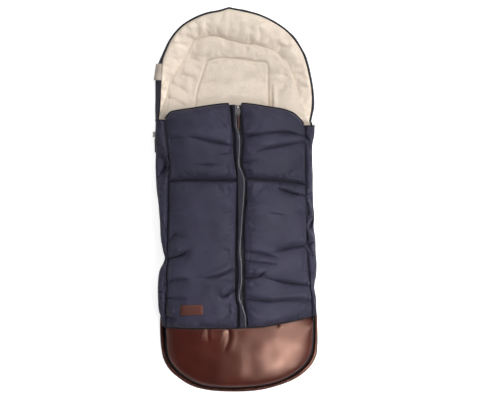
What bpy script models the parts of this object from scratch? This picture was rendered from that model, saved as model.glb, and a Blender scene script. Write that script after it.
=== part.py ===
"""Stroller footmuff, lying on its back: +Y towards the head, +Z up, metres.

The origin is at the middle of the floor under it. Every soft piece is a closed padded solid, made as a
relief: a grid of stations with a top and a bottom surface. All places follow from the sizes below.
"""

import math

import bmesh
import bpy
from mathutils import Matrix, Vector

# Overall sizes
LENGTH = 1.000
WIDTH = 0.415
GAP = 0.0003
HOOD_ARC = 0.208
TOE_ARC = 0.131
TOE_POWER = 2.4

# Back
FABRIC = 0.005
SHELL_INSET = 0.0010
WALL_STEP = 0.0004
CUT_PAST = 0.010
LINING_THICK = 0.020
LINING_EDGE = 0.009
LINING_INSET = 0.0085
LINING_ROUND = 3.0
LINING_SLOPE = 0.020
LINING_CROWDING = 0.8
LINING_TO_ZIP = 0.002
TOE_TAPER = 0.050
BOLSTER_FROM = 0.80
BOLSTER_TO = 0.97
CHANNEL_DEPTH = 0.006
CHANNEL_WIDTH = 0.010
CHANNEL_PITCH = 0.125
CHANNEL_FROM_TOE = 0.030
CHANNEL_FROM_HOOD = 0.060
CHANNEL_FADE = 6
SLOT_LONG = 0.060
SLOT_WIDE = 0.012
SLOT_ROUND = 0.003
WELT_WALL = 0.0012
SHOULDER_SLOT_X = 0.060
SHOULDER_SLOT_Y = 0.140
WAIST_SLOT_X = 0.115
WAIST_SLOT_Y = -0.100
CROTCH_SLOT_Y = -0.160
ANTISLIP_WIDE = 0.180
ANTISLIP_LONG = 0.130
ANTISLIP_Y = 0.030
ANTISLIP_THICK = 0.0012
ANTISLIP_ROUND = 0.015

# Hood
HOOD_FOLD_Y = 0.256
HOOD_FOLD_Z = 0.030
HOOD_FOLD_DEG = 75.0
HOOD_FOLD_SPARE = 0.9
COLLAR_START_Y = 0.208
COLLAR_WALL = 0.003
COLLAR_HEIGHT = 0.025
COLLAR_BINDING_FROM = 0.002
HOOD_WALL_HEIGHT = 0.036
WALL_RISE_LONG = 0.060
HOOD_PILLOW = 4
BORDER_SIDE = 0.026
BORDER_CROWN = 0.079
BORDER_HEIGHT = 0.046
BORDER_INNER_EDGE = 0.020
BORDER_LIP = 0.004
BORDER_ROUND = 2.4
BORDER_FOLD_DROP = 0.002
BINDING_RADIUS = 0.0020
TAB_WIDE = 0.022
TAB_LONG = 0.043
TAB_THICK = 0.0014
TAB_Y = 0.334

# Foot end
TOE_SEAM_Y = -0.3315
RIM_WIDE = 0.0125
RIM_HEIGHT = 0.009
RIM_SIDES = 10
RIM_SQUARE = 0.7
TOE_BOX_INSET = 0.0145
TOE_BOX_WALL = 0.005
TOE_BOX_TOP_Z = 0.095
TOE_BOX_POWER = 3.4
PIPING_RADIUS = 0.0022
PIPING_INSET = 0.003
PIPING_START_ANGLE = 0.12

# Side zip
SIDE_ZIP_INSET = 0.0040
TOE_ZIP_INSET = 0.0155
SIDE_TAPE_WIDE = 0.0045
SIDE_TAPE_THICK = 0.0012
SIDE_COIL_WIDE = 0.0030
SIDE_COIL_HIGH = 0.0026
COIL_STEP = 0.0006
ZIP_TURN = 0.030
ZIP_BOX_LONG = 0.012
ZIP_BOX_DROP = 0.004
ZIP_BOX_THICK = 0.0022
ZIP_BOX_FOOT = 0.003
SIDE_ZIP_TOP_Y = 0.198
SIDE_SLIDER_Y = 0.174

# Front cover
HINGE_X = 0.177
HINGE_Z = 0.076
GUSSET_THICK = 0.008
GUSSET_BULGE = 0.004
GUSSET_FOOT_OUT = 0.001
PUCKER = 0.0012
PUCKER_PITCH = 0.085
NECK_Y = 0.247
NECK_SAG = 0.020
NECK_CORNER = 0.022
NECK_CORNER_POWER = 10
CROSS_SEAM_Y = 0.050
PANEL_EDGE = 0.010
PANEL_ZIP_EDGE = 0.006
PANEL_CROWN = 0.020
PANEL_ROUND = 3.2
UPPER_ROUND = 3.4
LOWER_ROUND = 5.0
HINGE_SOFT = 0.16
HINGE_SWELL = 0.3
CREASE_FADE = 3
PANEL_UNDER_EDGE_Z = 0.066
PANEL_ARCH = 1.8
FLAP_LINING_THICK = 0.004

# Centre zip
ZIP_X = 0.0085
TAPE_Z = 0.0880
TAPE_THICK = 0.0008
TAPE_UNDER = 0.0080
TOOTH_PITCH = 0.0055
TOOTH_NECK = 0.0016
TOOTH_HEAD = 0.0021
TOOTH_REACH = 0.0010
TOOTH_ROOT = 0.0012
CHAIN_SPINE = 0.0020
CHAIN_THICK = 0.0030
CHAIN_BOTTOM_Y = -0.290
CHAIN_TOP_Y = 0.236
STOP_LONG = 0.0036
STOP_PROUD = 0.0004
TAPE_BELOW_STOP = 0.030
TAPE_FROM_NECK = 0.004
PLACKET_LEFT_X = -0.0105
PLACKET_TO_ZIP = 0.0087
PLACKET_THICK = 0.0030
PLACKET_FROM_NECK = 0.002
PLACKET_PIPING_SHORT = 0.001
PLACKET_PIPING_RADIUS = 0.0013
FLAP_SLOT = 0.0095

# Sliders and pullers
SLIDER_LONG = 0.015
SLIDER_PLATE = 0.0015
SLIDER_FLANGE = 0.0016
SLIDER_NOSE = 0.55
LUG_LONG = 0.0046
LUG_THICK = 0.0012
LUG_HIGH = 0.0026
LUG_X = 0.0026
PIN_RISE = 0.0014
BAIL_LONG = 0.014
BAIL_WIDE = 0.0064
BAIL_WIRE = 0.0011
BAIL_PIN_BACK = 0.0006
BAIL_NECK = 0.0032
BAIL_SHOULDER = 0.0044
BAIL_EYE = 0.0052
STRAP_LONG = 0.034
STRAP_WIDE = 0.0070
STRAP_THICK = 0.0018
STRAP_FOLD = 0.0016
STRAP_TIP_WIDE = 0.6
STRAP_TIP_LONG = 0.25

# Patch
PATCH_X = -0.1205
PATCH_Y = -0.2877
PATCH_WIDE = 0.058
PATCH_HIGH = 0.026
PATCH_THICK = 0.0014
PATCH_LIFT = 0.0006

# Values that follow from the sizes above
HALF = WIDTH / 2
HEAD_Y = LENGTH / 2
FOOT_Y = -LENGTH / 2
HOOD_CENTRE_Y = HEAD_Y - HOOD_ARC
TOE_CENTRE_Y = FOOT_Y + TOE_ARC
LINING_Z = FABRIC + GAP
SIDE_ZIP_MID_Z = FABRIC + GAP + SIDE_TAPE_WIDE + SIDE_COIL_HIGH
COVER_Z = SIDE_ZIP_MID_Z + GAP + SIDE_COIL_HIGH + SIDE_TAPE_WIDE + GAP
PANEL_INNER_Z = TAPE_Z + TAPE_THICK + GAP
LEFT_EDGE_X = PLACKET_LEFT_X - GAP
PLACKET_RIGHT_X = ZIP_X - PLACKET_TO_ZIP
RIGHT_EDGE_X = ZIP_X + FLAP_SLOT
HOOD_SLOPE = math.tan(math.radians(90 - HOOD_FOLD_DEG)) * HOOD_FOLD_SPARE

NAVY = (0.045, 0.043, 0.070)
CREAM = (0.715, 0.617, 0.514)
BROWN = (0.127, 0.039, 0.032)
TAB_BEIGE = (0.516, 0.439, 0.371)
DARK = (0.020, 0.019, 0.027)
PATCH_BROWN = (0.082, 0.033, 0.031)
PIPING_GREY = (0.150, 0.150, 0.165)
RUBBER = (0.030, 0.030, 0.032)
STEEL = (0.560, 0.550, 0.530)


def clear_scene():
    for old in list(bpy.data.objects):
        bpy.data.objects.remove(old, do_unlink=True)


def material(name, colour, roughness, metallic=0.0):
    made = bpy.data.materials.new(name)
    made.use_nodes = True
    shader = made.node_tree.nodes["Principled BSDF"]
    shader.inputs["Base Color"].default_value = (*colour, 1.0)
    shader.inputs["Roughness"].default_value = roughness
    shader.inputs["Metallic"].default_value = metallic
    made.diffuse_color = (*colour, 1.0)
    return made


def link(name, mesh, mat, smooth=True):
    mesh.materials.append(mat)
    if smooth:
        mesh.shade_smooth()
        mesh.set_sharp_from_angle(angle=math.radians(40))
    made = bpy.data.objects.new(name, mesh)
    bpy.context.scene.collection.objects.link(made)
    return made


def mesh_from(name, points, faces):
    """A mesh with doubled points merged and its faces turned outwards."""
    shape = bmesh.new()
    corners = [shape.verts.new(p) for p in points]
    for face in faces:
        shape.faces.new([corners[i] for i in face])
    bmesh.ops.remove_doubles(shape, verts=shape.verts, dist=1e-6)
    bmesh.ops.dissolve_degenerate(shape, edges=shape.edges, dist=1e-7)
    bmesh.ops.recalc_face_normals(shape, faces=shape.faces)
    mesh = bpy.data.meshes.new(name)
    shape.to_mesh(mesh)
    shape.free()
    return mesh


def relief(name, mat, rows, columns, top, bottom, smooth=True):
    """A closed padded solid over a grid. top(row, column) and bottom(row, column) give its points."""
    wide, high = len(columns), len(rows)
    points = [top(r, c) for r in rows for c in columns]
    points += [bottom(r, c) for r in rows for c in columns]
    under = wide * high
    faces = []
    for j in range(high - 1):
        for i in range(wide - 1):
            a, b = j * wide + i, (j + 1) * wide + i
            faces.append((a, a + 1, b + 1, b))
            faces.append((under + a, under + b, under + b + 1, under + a + 1))
    for j in range(high - 1):
        for i in (0, wide - 1):
            a, b = j * wide + i, (j + 1) * wide + i
            faces.append((a, b, under + b, under + a))
    for i in range(wide - 1):
        for j in (0, high - 1):
            a = j * wide + i
            faces.append((a, a + 1, under + a + 1, under + a))
    return link(name, mesh_from(name, points, faces), mat, smooth)


def sweep(name, mat, path, profile, smooth=True):
    """A closed profile carried along a path. Profile points are (outward, up) from the path."""
    points, count = [], len(profile)
    for i, (x, y, z) in enumerate(path):
        before, after = path[max(i - 1, 0)], path[min(i + 1, len(path) - 1)]
        along = Vector((after[0] - before[0], after[1] - before[1], 0)).normalized()
        outward = Vector((along.y, -along.x, 0))
        points += [Vector((x, y, z)) + outward * u + Vector((0, 0, w)) for u, w in profile]
    faces = []
    for i in range(len(path) - 1):
        for k in range(count):
            a, b = i * count + k, i * count + (k + 1) % count
            faces.append((a, b, b + count, a + count))
    faces.append(tuple(range(count)))
    faces.append(tuple(range(len(points) - count, len(points))))
    return link(name, mesh_from(name, points, faces), mat, smooth)


def prism(name, mat, outline, low, high, smooth=False):
    """A flat outline of (x, y) points raised from low to high."""
    count = len(outline)
    points = [(x, y, low) for x, y in outline] + [(x, y, high) for x, y in outline]
    faces = [tuple(range(count)), tuple(range(count, 2 * count))]
    faces += [(i, (i + 1) % count, count + (i + 1) % count, count + i) for i in range(count)]
    return link(name, mesh_from(name, points, faces), mat, smooth)


def box(name, mat, low, high):
    outline = [(low[0], low[1]), (high[0], low[1]), (high[0], high[1]), (low[0], high[1])]
    return prism(name, mat, outline, low[2], high[2])


def tube(name, mat, path, radius, resolution=1):
    """A round cord along a path, from a curve with filled ends."""
    curve = bpy.data.curves.new(name, "CURVE")
    curve.dimensions = "3D"
    curve.bevel_depth = radius
    curve.bevel_resolution = resolution
    curve.use_fill_caps = True
    spline = curve.splines.new("POLY")
    spline.points.add(len(path) - 1)
    for point, place in zip(spline.points, path):
        point.co = (*place, 1.0)
    curve.materials.append(mat)
    made = bpy.data.objects.new(name, curve)
    bpy.context.scene.collection.objects.link(made)
    return made


def cut(piece, cutter, name="cut"):
    cutter.hide_render = True
    cutter.display_type = "WIRE"
    step = piece.modifiers.new(name, "BOOLEAN")
    step.operation = "DIFFERENCE"
    step.object = cutter


def join(piece, other, name="join"):
    other.hide_render = True
    other.display_type = "WIRE"
    step = piece.modifiers.new(name, "BOOLEAN")
    step.operation = "UNION"
    step.object = other


def spread(start, end, count):
    return [start + (end - start) * i / (count - 1) for i in range(count)]


def eased(start, end, count):
    """Stations that crowd towards both ends."""
    return [start + (end - start) * (1 - math.cos(math.pi * i / (count - 1))) / 2 for i in range(count)]


def smooth_step(low, high, value):
    t = min(max((value - low) / (high - low), 0.0), 1.0)
    return t * t * (3 - 2 * t)


def power(value, exponent):
    return math.copysign(abs(value) ** exponent, value)


def rounded_box(centre, wide, high, radius, steps=3):
    """Outline of a rectangle with round corners, anticlockwise."""
    outline = []
    for k, (sx, sy) in enumerate(((1, 1), (-1, 1), (-1, -1), (1, -1))):
        cx = centre[0] + sx * (wide / 2 - radius)
        cy = centre[1] + sy * (high / 2 - radius)
        for i in range(steps + 1):
            angle = math.pi / 2 * (k + i / steps)
            outline.append((cx + radius * math.cos(angle), cy + radius * math.sin(angle)))
    return outline


def half_width(y, inset=0.0):
    """Half the width of the footmuff's outline at y, drawn in by inset all round."""
    wide = HALF - inset
    if y > HOOD_CENTRE_Y:
        t = min((y - HOOD_CENTRE_Y) / (HOOD_ARC - inset), 1.0)
        return wide * math.sqrt(1 - t * t)
    if y < TOE_CENTRE_Y:
        t = min((TOE_CENTRE_Y - y) / (TOE_ARC - inset), 1.0)
        return wide * (1 - t**TOE_POWER) ** (1 / TOE_POWER)
    return wide


def toe_path(inset, start_y, z, arc_count=25, side_count=2, inset_at=None):
    """Points round the toe from the right side to the left, clockwise seen from above."""
    inset_at = inset_at or (lambda y: inset)
    right = [(HALF - inset_at(y), y, z) for y in spread(start_y, TOE_CENTRE_Y, side_count + 1)[:-1]]
    arc = []
    for angle in spread(0, math.pi, arc_count):
        x = (HALF - inset) * power(math.cos(angle), 2 / TOE_POWER)
        y = TOE_CENTRE_Y - (TOE_ARC - inset) * power(math.sin(angle), 2 / TOE_POWER)
        arc.append((x, y, z))
    left = [(-x, y, z) for x, y, z in reversed(right)]
    return right + arc + left


def hood_path(inset, z_at, start_y=None, arc_count=21, side_count=2):
    """Points round the hood from the right side over the head to the left side."""
    start_y = HOOD_FOLD_Y + GAP / 2 if start_y is None else start_y
    right = [(HALF - inset, y) for y in spread(start_y, HOOD_CENTRE_Y, side_count + 1)[:-1]]
    arc = []
    for angle in spread(0, math.pi, arc_count):
        reach = HOOD_ARC - inset
        arc.append(((HALF - inset) * math.cos(angle), HOOD_CENTRE_Y + reach * math.sin(angle)))
    flat = right + arc + [(-x, y) for x, y in reversed(right)]
    return [(x, y, z_at(x, y)) for x, y in flat]


def channel(y, first, last):
    """How deep the sewn cross channels draw the lining in at y, from 0 to 1."""
    deepest = 0.0
    count = int((last - first) / CHANNEL_PITCH)
    for i in range(count + 1):
        deepest = max(deepest, math.exp(-(((y - first - i * CHANNEL_PITCH) / CHANNEL_WIDTH) ** 2)))
    return deepest


def slot_places():
    """Name, centre and size of each harness slot."""
    across, along = (SLOT_LONG, SLOT_WIDE), (SLOT_WIDE, SLOT_LONG)
    return [
        ("shoulder_left", (-SHOULDER_SLOT_X, SHOULDER_SLOT_Y), across),
        ("shoulder_right", (SHOULDER_SLOT_X, SHOULDER_SLOT_Y), across),
        ("waist_left", (-WAIST_SLOT_X, WAIST_SLOT_Y), along),
        ("waist_right", (WAIST_SLOT_X, WAIST_SLOT_Y), along),
        ("crotch", (0.0, CROTCH_SLOT_Y), across),
    ]


def slot_outline(centre, size, grow):
    return rounded_box(centre, size[0] + 2 * grow, size[1] + 2 * grow, SLOT_ROUND + grow)


def cut_slots(piece, mats, high):
    """One cutter a slot, each a little larger than the welt that lines it."""
    for name, centre, size in slot_places():
        outline = slot_outline(centre, size, WELT_WALL + GAP)
        cutter = prism(f"{piece.name}_{name}_cutter", mats["navy"], outline, -CUT_PAST, high + CUT_PAST)
        cut(piece, cutter, f"{name} slot")


def collar_height(y):
    return FABRIC + (COLLAR_HEIGHT - FABRIC) * smooth_step(COLLAR_START_Y, HOOD_FOLD_Y, y)


def make_back_shell(mats):
    """Navy underside, with low walls at the sides just below the hood."""
    edge = HALF - SHELL_INSET
    inner = edge - COLLAR_WALL
    columns = [-edge, -inner, -inner + WALL_STEP, 0.0, inner - WALL_STEP, inner, edge]
    low_y, high_y = TOE_SEAM_Y + GAP, HOOD_FOLD_Y - GAP / 2
    rows = [low_y] + spread(COLLAR_START_Y, high_y, 7)
    rows.insert(1, SIDE_ZIP_TOP_Y)

    def top(y, x):
        wall = abs(x) > inner - WALL_STEP / 2
        return (x, y, collar_height(y) if wall else FABRIC)

    shell = relief("back_shell", mats["navy"], rows, columns, top, lambda y, x: (x, y, 0.0), smooth=False)
    cut_slots(shell, mats, FABRIC)
    recess = rounded_box(
        (0, ANTISLIP_Y), ANTISLIP_WIDE + 2 * GAP, ANTISLIP_LONG + 2 * GAP, ANTISLIP_ROUND + GAP
    )
    cut(shell, prism("recess_cutter", mats["navy"], recess, -CUT_PAST, ANTISLIP_THICK + GAP), "recess")
    return shell


def lining_inset(y):
    """The lining is drawn in further round the toe, inside the rim and the zip."""
    round_toe = TOE_ZIP_INSET + SIDE_COIL_WIDE / 2 + LINING_TO_ZIP
    taper = 1 - smooth_step(TOE_SEAM_Y, TOE_SEAM_Y + TOE_TAPER, y)
    return LINING_INSET + (round_toe - LINING_INSET) * taper


def make_back_lining(mats):
    """Quilted cushion from the hood fold to the toe, sewn across in channels."""
    low_y = TOE_CENTRE_Y - (TOE_ARC - lining_inset(FOOT_Y)) + LINING_TO_ZIP
    high_y = HOOD_FOLD_Y - GAP / 2
    rows = spread(low_y, TOE_CENTRE_Y, 6)[:-1] + spread(TOE_CENTRE_Y, high_y, 31)
    columns = [power(u, LINING_CROWDING) for u in spread(-1, 1, 13)]
    first = TOE_SEAM_Y + CHANNEL_FROM_TOE

    def place(y, u):
        return u * half_width(y, lining_inset(y))

    def top(y, u):
        toe_slope = smooth_step(low_y - LINING_SLOPE, low_y + LINING_SLOPE, y)
        crown = (1 - abs(u) ** LINING_ROUND) * toe_slope
        height = LINING_EDGE + (LINING_THICK - LINING_EDGE) * crown
        drawn = channel(y, first, high_y - CHANNEL_FROM_HOOD) * (1 - abs(u) ** CHANNEL_FADE)
        height -= CHANNEL_DEPTH * drawn
        bolster = (collar_height(y) - FABRIC - LINING_EDGE) * smooth_step(BOLSTER_FROM, BOLSTER_TO, abs(u))
        height += max(bolster, 0.0)
        return (place(y, u), y, LINING_Z + height)

    lining = relief(
        "back_lining", mats["cream"], rows, columns, top, lambda y, u: (place(y, u), y, LINING_Z)
    )
    cut_slots(lining, mats, LINING_Z + LINING_THICK)
    return lining


def make_slot_welts(mats):
    high = LINING_Z + LINING_THICK
    for name, centre, size in slot_places():
        welt = prism(f"slot_welt_{name}", mats["dark"], slot_outline(centre, size, WELT_WALL), 0.0, high)
        inside = slot_outline(centre, size, 0.0)
        cut(welt, prism(f"{name}_hole_cutter", mats["dark"], inside, -CUT_PAST, high + CUT_PAST), "hole")


def make_antislip_panel(mats):
    outline = rounded_box((0, ANTISLIP_Y), ANTISLIP_WIDE, ANTISLIP_LONG, ANTISLIP_ROUND)
    prism("antislip_panel", mats["rubber"], outline, 0.0, ANTISLIP_THICK)


def make_foot_sole(mats):
    """Leather end of the back, as wide as the rim that sits on it."""
    outline = [(x, y) for x, y, _ in toe_path(0.0, TOE_SEAM_Y, 0.0)]
    prism("foot_sole", mats["brown"], outline, 0.0, FABRIC)
    rounded = []
    for k in range(RIM_SIDES):
        angle = 2 * math.pi * (k + 0.5) / RIM_SIDES
        out, up = power(math.cos(angle), RIM_SQUARE), power(math.sin(angle), RIM_SQUARE)
        rounded.append((RIM_WIDE / 2 * out, RIM_HEIGHT / 2 * (1 + up)))
    path = toe_path(RIM_WIDE / 2, TOE_SEAM_Y, LINING_Z)
    sweep("foot_rim", mats["brown"], path, rounded)


def side_zip_inset(y):
    taper = 1 - smooth_step(TOE_SEAM_Y, TOE_SEAM_Y + ZIP_TURN, y)
    return SIDE_ZIP_INSET + (TOE_ZIP_INSET - SIDE_ZIP_INSET) * taper


def side_zip_path(z):
    straight = [SIDE_ZIP_TOP_Y] + spread(TOE_SEAM_Y + ZIP_TURN, TOE_SEAM_Y, 5)
    right = [(HALF - side_zip_inset(y), y, z) for y in straight]
    around = toe_path(TOE_ZIP_INSET, TOE_SEAM_Y, z, arc_count=23)[1:-1]
    return right + around + [(-x, y, z) for x, y, z in reversed(right)]


def make_side_zip(mats):
    """Two halves of the long side zip, tape on the outside and coil where they meet."""
    tape, coil = SIDE_TAPE_THICK / 2, SIDE_COIL_WIDE / 2
    half = [
        (-tape, 0.0),
        (tape, 0.0),
        (tape, SIDE_TAPE_WIDE),
        (coil, SIDE_TAPE_WIDE + COIL_STEP),
        (coil, SIDE_TAPE_WIDE + SIDE_COIL_HIGH),
        (-coil, SIDE_TAPE_WIDE + SIDE_COIL_HIGH),
        (-coil, SIDE_TAPE_WIDE + COIL_STEP),
        (-tape, SIDE_TAPE_WIDE),
    ]
    sweep("side_zip_lower", mats["dark"], side_zip_path(FABRIC + GAP), half)
    turned = [(u, COVER_Z - GAP - SIDE_ZIP_MID_Z - w) for u, w in reversed(half)]
    sweep("side_zip_upper", mats["dark"], side_zip_path(SIDE_ZIP_MID_Z), turned)
    x = HALF - SIDE_ZIP_INSET + SIDE_COIL_WIDE / 2 + GAP
    high_y = SIDE_ZIP_TOP_Y - ZIP_BOX_DROP
    low = (x, high_y - ZIP_BOX_LONG, FABRIC + GAP + ZIP_BOX_FOOT)
    high = (x + ZIP_BOX_THICK, high_y, SIDE_ZIP_MID_Z)
    box("side_zip_box", mats["steel"], low, high)


def wall_height(y):
    rise = smooth_step(HOOD_FOLD_Y, HOOD_FOLD_Y + WALL_RISE_LONG, y)
    return COLLAR_HEIGHT + (HOOD_WALL_HEIGHT - COLLAR_HEIGHT) * rise


def hood_ring(inset, share):
    """Points of one ring of the hood, drawn from the middle of the fold towards the outline."""
    outline = hood_path(inset, lambda x, y: 0.0)
    fold = HOOD_FOLD_Y + GAP / 2
    return [(x * share, fold + (y - fold) * share) for x, y, _ in outline]


def hood_fan(name, mat, rings, smooth=True):
    """A closed solid over the hood. Each ring is (inset, share, top(x, y), bottom z)."""
    stations = len(hood_path(0.0, lambda x, y: 0.0))
    laid = [hood_ring(inset, share) for inset, share, _, _ in rings]

    def top(j, i):
        x, y = laid[j][i]
        return (x, y, rings[j][2](x, y))

    def bottom(j, i):
        x, y = laid[j][i]
        return (x, y, rings[j][3])

    return relief(name, mat, range(len(rings)), range(stations), top, bottom, smooth)


def border_width(x, y):
    """The padded border is widest over the head and narrows down the sides."""
    rise = max(y - HOOD_FOLD_Y, 0.0) / (HEAD_Y - HOOD_FOLD_Y)
    return BORDER_SIDE + (BORDER_CROWN - BORDER_SIDE) * smooth_step(0.0, 1.0, rise)


def make_hood(mats):
    """Turned-up navy shell, flat lining, padded border, bound edge and woven tab."""
    def flat(z):
        return lambda x, y: z

    def rim(x, y):
        return wall_height(y)

    inner = COLLAR_WALL
    hood_fan(
        "hood_shell",
        mats["navy"],
        [
            (inner + WALL_STEP, 0.0, flat(FABRIC), 0.0),
            (inner + WALL_STEP, 1.0, flat(FABRIC), 0.0),
            (inner, 1.0, rim, 0.0),
            (0.0, 1.0, rim, 0.0),
        ],
        smooth=False,
    )
    outer_inset = COLLAR_WALL + 2 * GAP
    outer = hood_path(outer_inset, lambda x, y: 0.0)

    def contour(i, across):
        """A point between the border's inner contour, at 0, and its outer one, at 1."""
        x, y, _ = outer[i]
        edge = Vector((x, y))
        inward = Vector((-x, max(HOOD_CENTRE_Y - y, -1.0) if y > HOOD_CENTRE_Y else 0.0)).normalized()
        return edge + inward * border_width(x, y) * (1 - across)

    def border_top(i, across):
        x, y = contour(i, across)
        x_out, y_out, _ = outer[i]
        limit = HOOD_FOLD_Z + max(y - HOOD_FOLD_Y, 0.0) * HOOD_SLOPE
        rising = HOOD_FOLD_Z - BORDER_FOLD_DROP + max(y_out - HOOD_FOLD_Y, 0.0) * HOOD_SLOPE
        peak = min(BORDER_HEIGHT, rising)
        edge_z = BORDER_INNER_EDGE + (wall_height(y_out) - BORDER_LIP - BORDER_INNER_EDGE) * across
        z = edge_z + (peak - edge_z) * (1 - abs(2 * across - 1) ** BORDER_ROUND)
        return (x, y, min(z, limit))

    stations = range(len(outer))
    relief(
        "hood_border",
        mats["cream"],
        stations,
        spread(0.0, 1.0, 9),
        border_top,
        lambda i, across: (*contour(i, across), LINING_Z),
    )

    def lining_point(share, i, z):
        edge = contour(i, 0.0)
        edge += (Vector((0.0, edge.y)) - edge).normalized() * 2 * GAP
        if edge.y > HOOD_CENTRE_Y:
            edge += (Vector((0.0, HOOD_CENTRE_Y)) - edge).normalized() * 2 * GAP
        fold = Vector((0.0, HOOD_FOLD_Y + GAP / 2))
        place = fold + (edge - fold) * share
        return (place.x, max(place.y, fold.y), z)

    def lining_top(share, i):
        pillow = LINING_THICK - (LINING_THICK - LINING_EDGE) * share**HOOD_PILLOW
        return lining_point(share, i, LINING_Z + pillow)

    relief(
        "hood_lining",
        mats["cream"],
        [0.0, 0.35, 0.65, 0.85, 0.95, 1.0],
        stations,
        lining_top,
        lambda share, i: lining_point(share, i, LINING_Z),
    )
    middle_of_wall = (COLLAR_WALL + WALL_STEP) / 2
    path = hood_path(
        middle_of_wall, lambda x, y: wall_height(y) + GAP + BINDING_RADIUS, arc_count=31, side_count=3
    )
    tube("hood_binding", mats["dark"], path, BINDING_RADIUS)
    make_woven_tab(mats)


def make_woven_tab(mats):
    """Blank tab that lies from the bound edge in over the padded border."""
    edge_z = HOOD_WALL_HEIGHT + 2 * GAP + 2 * BINDING_RADIUS
    rise = BORDER_HEIGHT + GAP - edge_z

    def place(v, u, lift):
        y = TAB_Y + v * TAB_LONG / 2
        return (-half_width(TAB_Y) + u * TAB_WIDE, y, edge_z + rise * u + lift)

    relief(
        "woven_tab",
        mats["tab"],
        (-1.0, 1.0),
        (0.0, 1.0),
        lambda v, u: place(v, u, TAB_THICK),
        lambda v, u: place(v, u, 0.0),
        smooth=False,
    )


def make_collar_bindings(mats):
    """The bound edge goes on down the low side walls of the back."""
    for side, name in ((-1, "left"), (1, "right")):
        x = side * (HALF - SHELL_INSET - COLLAR_WALL / 2)
        rows = spread(COLLAR_START_Y + COLLAR_BINDING_FROM, HOOD_FOLD_Y - GAP, 7)
        path = [(x, y, collar_height(y) + 2 * GAP + BINDING_RADIUS) for y in rows]
        tube(f"collar_binding_{name}", mats["dark"], path, BINDING_RADIUS)


def neck_y(x):
    """The front cover's top edge, which drops towards the sides and rounds off at the corners."""
    t = min(abs(x) / HINGE_X, 1.0)
    return NECK_Y - NECK_SAG * t * t - NECK_CORNER * t**NECK_CORNER_POWER


def make_gussets(mats):
    """Padded side strips that lean in from the side zip to the hinge line of the flaps."""
    foot = HALF - SIDE_ZIP_INSET
    top_y = neck_y(HINGE_X)
    rows = [TOE_SEAM_Y + 2 * PIPING_RADIUS] + spread(TOE_SEAM_Y + 0.04, top_y - 0.02, 14) + [top_y]
    heights = spread(0.0, 1.0, 6)

    def outer(y, t, side):
        x = foot + GUSSET_FOOT_OUT + (HINGE_X + GAP + GUSSET_THICK - foot) * t
        pucker = PUCKER * math.sin(y * 2 * math.pi / PUCKER_PITCH)
        bulge = (GUSSET_BULGE + pucker) * math.sin(math.pi * t)
        toe = side_zip_inset(y) - SIDE_ZIP_INSET
        return (side * (x + bulge - toe * (1 - t)), y, COVER_Z + (HINGE_Z - COVER_Z) * t)

    def inner(y, t, side):
        x, _, z = outer(y, t, side)
        return (x - side * GUSSET_THICK, y, z)

    for side, name in ((-1, "left"), (1, "right")):
        relief(
            f"gusset_{name}",
            mats["navy"],
            rows,
            heights,
            lambda y, t, side=side: outer(y, t, side),
            lambda y, t, side=side: inner(y, t, side),
        )


def make_toe_box(mats):
    """Leather dome over the feet: a quarter of a rounded solid, open towards the child and below."""
    around = spread(0.0, math.pi, 25)
    up = spread(0.0, math.pi / 2, 10)
    seam_y = TOE_SEAM_Y - PIPING_RADIUS - GAP
    reach = seam_y - FOOT_Y - TOE_BOX_INSET

    def surface(b, a, wall):
        level = math.cos(b) ** (2 / TOE_BOX_POWER) if b < math.pi / 2 - 1e-6 else 0.0
        x = (HALF - TOE_BOX_INSET - wall) * level * power(math.cos(a), 2 / TOE_POWER)
        y = seam_y - (reach - wall) * level * power(math.sin(a), 2 / TOE_POWER)
        if a in (around[0], around[-1]):
            y = seam_y
        z = COVER_Z + (TOE_BOX_TOP_Z - COVER_Z - wall) * math.sin(b) ** (2 / TOE_BOX_POWER)
        return (x, y, z)

    relief(
        "toe_box",
        mats["brown"],
        up,
        around,
        lambda b, a: surface(b, a, 0.0),
        lambda b, a: surface(b, a, TOE_BOX_WALL),
    )


def toe_arch_z(x):
    """Height of the toe box's edge over the seam."""
    t = min(abs(x) / (HALF - TOE_BOX_INSET), 1.0)
    return COVER_Z + (TOE_BOX_TOP_Z - COVER_Z) * (1 - t**TOE_BOX_POWER) ** (1 / TOE_BOX_POWER)


def make_toe_piping(mats):
    reach = HALF - TOE_BOX_INSET - PIPING_INSET
    path = []
    for angle in spread(PIPING_START_ANGLE, math.pi - PIPING_START_ANGLE, 31):
        x = reach * power(math.cos(angle), 2 / TOE_BOX_POWER)
        path.append((x, TOE_SEAM_Y, toe_arch_z(x) - PIPING_RADIUS))
    tube("toe_seam_piping", mats["brown"], path, PIPING_RADIUS)


def flap_x(side, s):
    """Across one flap: s is 0 at the gusset and 1 at the zip."""
    if side < 0:
        start, end = -HINGE_X + GAP, LEFT_EDGE_X
    else:
        start, end = HINGE_X - GAP, RIGHT_EDGE_X
    return start + (end - start) * s


def under_z(s):
    """Underside of the padded panels, an arch from the gusset to the zip."""
    return PANEL_UNDER_EDGE_Z + (PANEL_INNER_Z - PANEL_UNDER_EDGE_Z) * (1 - (1 - s) ** PANEL_ARCH)


# Main creases of each panel: from (s, t) to (s, t), how deep and how wide.
CREASES = {
    ("left", "upper"): [
        ((0.05, 0.62), (0.55, 0.50), 0.0040, 0.010),
        ((0.35, 0.24), (0.70, 0.22), 0.0030, 0.010),
    ],
    ("right", "upper"): [((0.90, 0.45), (0.10, 0.66), 0.0040, 0.011)],
    ("left", "lower"): [
        ((0.05, 0.48), (0.38, 0.56), 0.0045, 0.012),
        ((0.45, 0.34), (0.95, 0.41), 0.0035, 0.011),
    ],
    ("right", "lower"): [
        ((0.05, 0.57), (0.60, 0.49), 0.0045, 0.013),
        ((0.10, 0.28), (0.65, 0.33), 0.0040, 0.011),
        ((0.05, 0.18), (0.95, 0.20), 0.0030, 0.010),
    ],
}


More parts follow.
